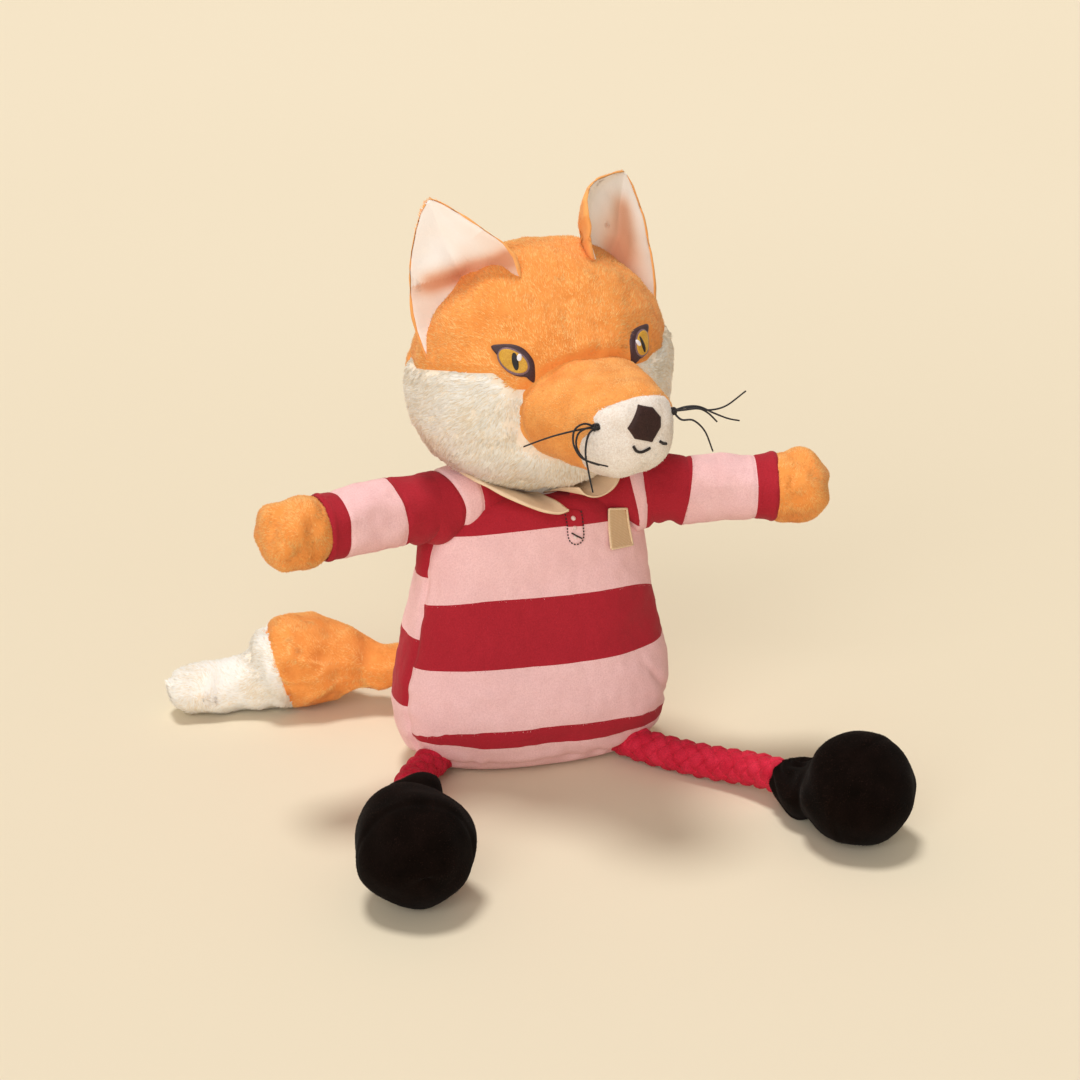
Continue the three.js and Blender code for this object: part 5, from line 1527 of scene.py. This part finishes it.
for k in range(3):
    middle_at = [PLACKET_ASIDE, PLACKET_FOOT + 3 + 3.6 * k]
    disc = ellipse(middle_at[0] - 0.3, middle_at[1], 2.0, 2.0, 0, 24)
    button = laid(f"shirt_button_{k + 1}", disc, 1.6, [button_material], 10, 3.0, count=40)
    belong(button, "torso", [f"placket_button_{k + 1}"])

badge_paint = Paint("patch_weave")
badge_at = badge_paint.field("rest")
weft = badge_paint.add("TexWave", {"Vector": badge_at, "Scale": 520.0, "Distortion": 1.0}, bands_direction="Z")
warp = badge_paint.add("TexWave", {"Vector": badge_at, "Scale": 520.0, "Distortion": 1.0}, bands_direction="X")
woven = badge_paint.add("Math", {0: weft.outputs[1], 1: warp.outputs[1]}, operation="MULTIPLY").outputs[0]
badge_colour = badge_paint.mix(woven, linear((206, 170, 128)), linear((238, 212, 176)))
badge_material = badge_paint.done(badge_colour, 0.9, woven, 0.5, 0.25, 0.2)
PATCH_AT, PATCH_HALF_WIDTH, PATCH_HALF_HEIGHT = [24.4, 102.6], 5.3, 7.3
w, h = PATCH_HALF_WIDTH, PATCH_HALF_HEIGHT
corners = [(-w - 0.6, -h + 0.8), (w + 0.8, -h - 0.6), (w - 2.8, h + 0.8), (-w, h + 1.8)]
edge_line = np.vstack([
    np.linspace(corners[k], corners[(k + 1) % 4], 24, endpoint=False) for k in range(4)
])
badge_outline = edge_line + PATCH_AT
belong(laid("chest_patch", badge_outline, 0.5, [badge_material], blunt=60.0, on=smooth_chest), "torso",
       ["chest_badge"])
spots, outwards = smooth_chest(np.vstack([badge_outline, badge_outline[:1]]))
badge_edge = thread("patch_edging", (250, 228, 192), (222, 190, 150), 0.4)
edging = bundle("chest_patch_edging", [thread_tube(spots + outwards * 0.25, 0.5, 6)], badge_edge)
belong(edging, "torso")

# Neck wad, under the collar and the head
fibre_material = cloth("fibre_fill", (238, 234, 226), (216, 210, 200), 0.8, 5.0)
latitude = np.linspace(-0.98, 0.98, 40) * np.pi / 2
WAD_AT, WAD_RADIUS, WAD_FOOT = (0, 0, 123), 14, -8.2
wad_rows = np.stack([WAD_RADIUS * np.sin(latitude)] + [WAD_RADIUS * np.cos(latitude)] * 3, axis=1)
wad = oval(wad_rows, 60, 2)
wad[..., 2] = np.maximum(wad[..., 2], WAD_FOOT)
wad = Skin(wad + WAD_AT, WAD_AT)
wad.press(0.3 * small_lumps(wad.points))
belong(dress("neck_wad", wad, [fibre_material]), "neck", ["neck_stuffing"])

# Squeaker parts keep their CAD shape
vinyl = Paint("squeaker_vinyl")
cloudy = vinyl.noise(vinyl.add("TexCoord").outputs["Object"], 4.0)
vinyl_material = vinyl.done(vinyl.mix(cloudy, linear((214, 224, 228)), linear((232, 238, 240))), 0.4, cloudy, 0.1)
for name in ("squeaker_bulb", "squeaker_reed"):
    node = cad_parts[name]
    for slot_of_node in node.material_slots:
        slot_of_node.material = vinyl_material

# Floor and light, in metres
floor_mesh = bpy.data.meshes.new("floor")
FLOOR_NEAR, FLOOR_BEND, FLOOR_FAR, FLOOR_RISE = -3.0, 0.25, 4.0, 0.16
profile = [(FLOOR_NEAR, 0.0)]
profile += [(y, FLOOR_RISE * (y - FLOOR_BEND) ** 2) for y in np.linspace(FLOOR_BEND, FLOOR_FAR, 40)]
floor_points = [(x, y, z) for y, z in profile for x in (-FLOOR_FAR, FLOOR_FAR)]
floor_faces = [(2 * k, 2 * k + 1, 2 * k + 3, 2 * k + 2) for k in range(len(profile) - 1)]
floor_mesh.from_pydata(floor_points, [], floor_faces)
for polygon in floor_mesh.polygons:
    polygon.use_smooth = True
floor = placed("floor", floor_mesh)
floor_paint = Paint("warm_paper")
paper = floor_paint.noise(floor_paint.add("TexCoord").outputs["Object"], 900.0, 1.0)
floor_colour = floor_paint.mix(paper, linear((229, 217, 192)), linear((233, 222, 199)))
floor_mesh.materials.append(floor_paint.done(floor_colour, 0.95, specular=0.1))


def sun(name, toward, spread, strength, colour):
    light = bpy.data.lights.new(name, "SUN")
    light.angle = math.radians(spread)
    light.energy = strength
    light.color = colour
    placed(name, light).rotation_euler = Vector(toward).to_track_quat("Z", "Y").to_euler()


sun("key", (-0.11, 0.14, 1.0), 14, 1.7, (1.0, 0.985, 0.965))
sun("front", (-0.55, -0.95, 0.5), 50, 1.55, (1.0, 0.985, 0.97))
world = bpy.data.worlds.new("room")
bpy.context.scene.world = world
world.use_nodes = True
background = world.node_tree.nodes["Background"]
background.inputs["Color"].default_value = linear((255, 242, 226))
background.inputs["Strength"].default_value = 0.33
beyond = world.node_tree.nodes.new("ShaderNodeBackground")
beyond.inputs["Color"].default_value = linear((238, 224, 198))
either = world.node_tree.nodes.new("ShaderNodeMixShader")
seen = world.node_tree.nodes.new("ShaderNodeLightPath").outputs["Is Camera Ray"]
for start, end in (
    (seen, either.inputs["Fac"]), (background.outputs[0], either.inputs[1]), (beyond.outputs[0], either.inputs[2]),
    (either.outputs[0], world.node_tree.nodes["World Output"].inputs["Surface"]),
):
    world.node_tree.links.new(start, end)
bpy.context.scene.view_settings.view_transform = "Standard"
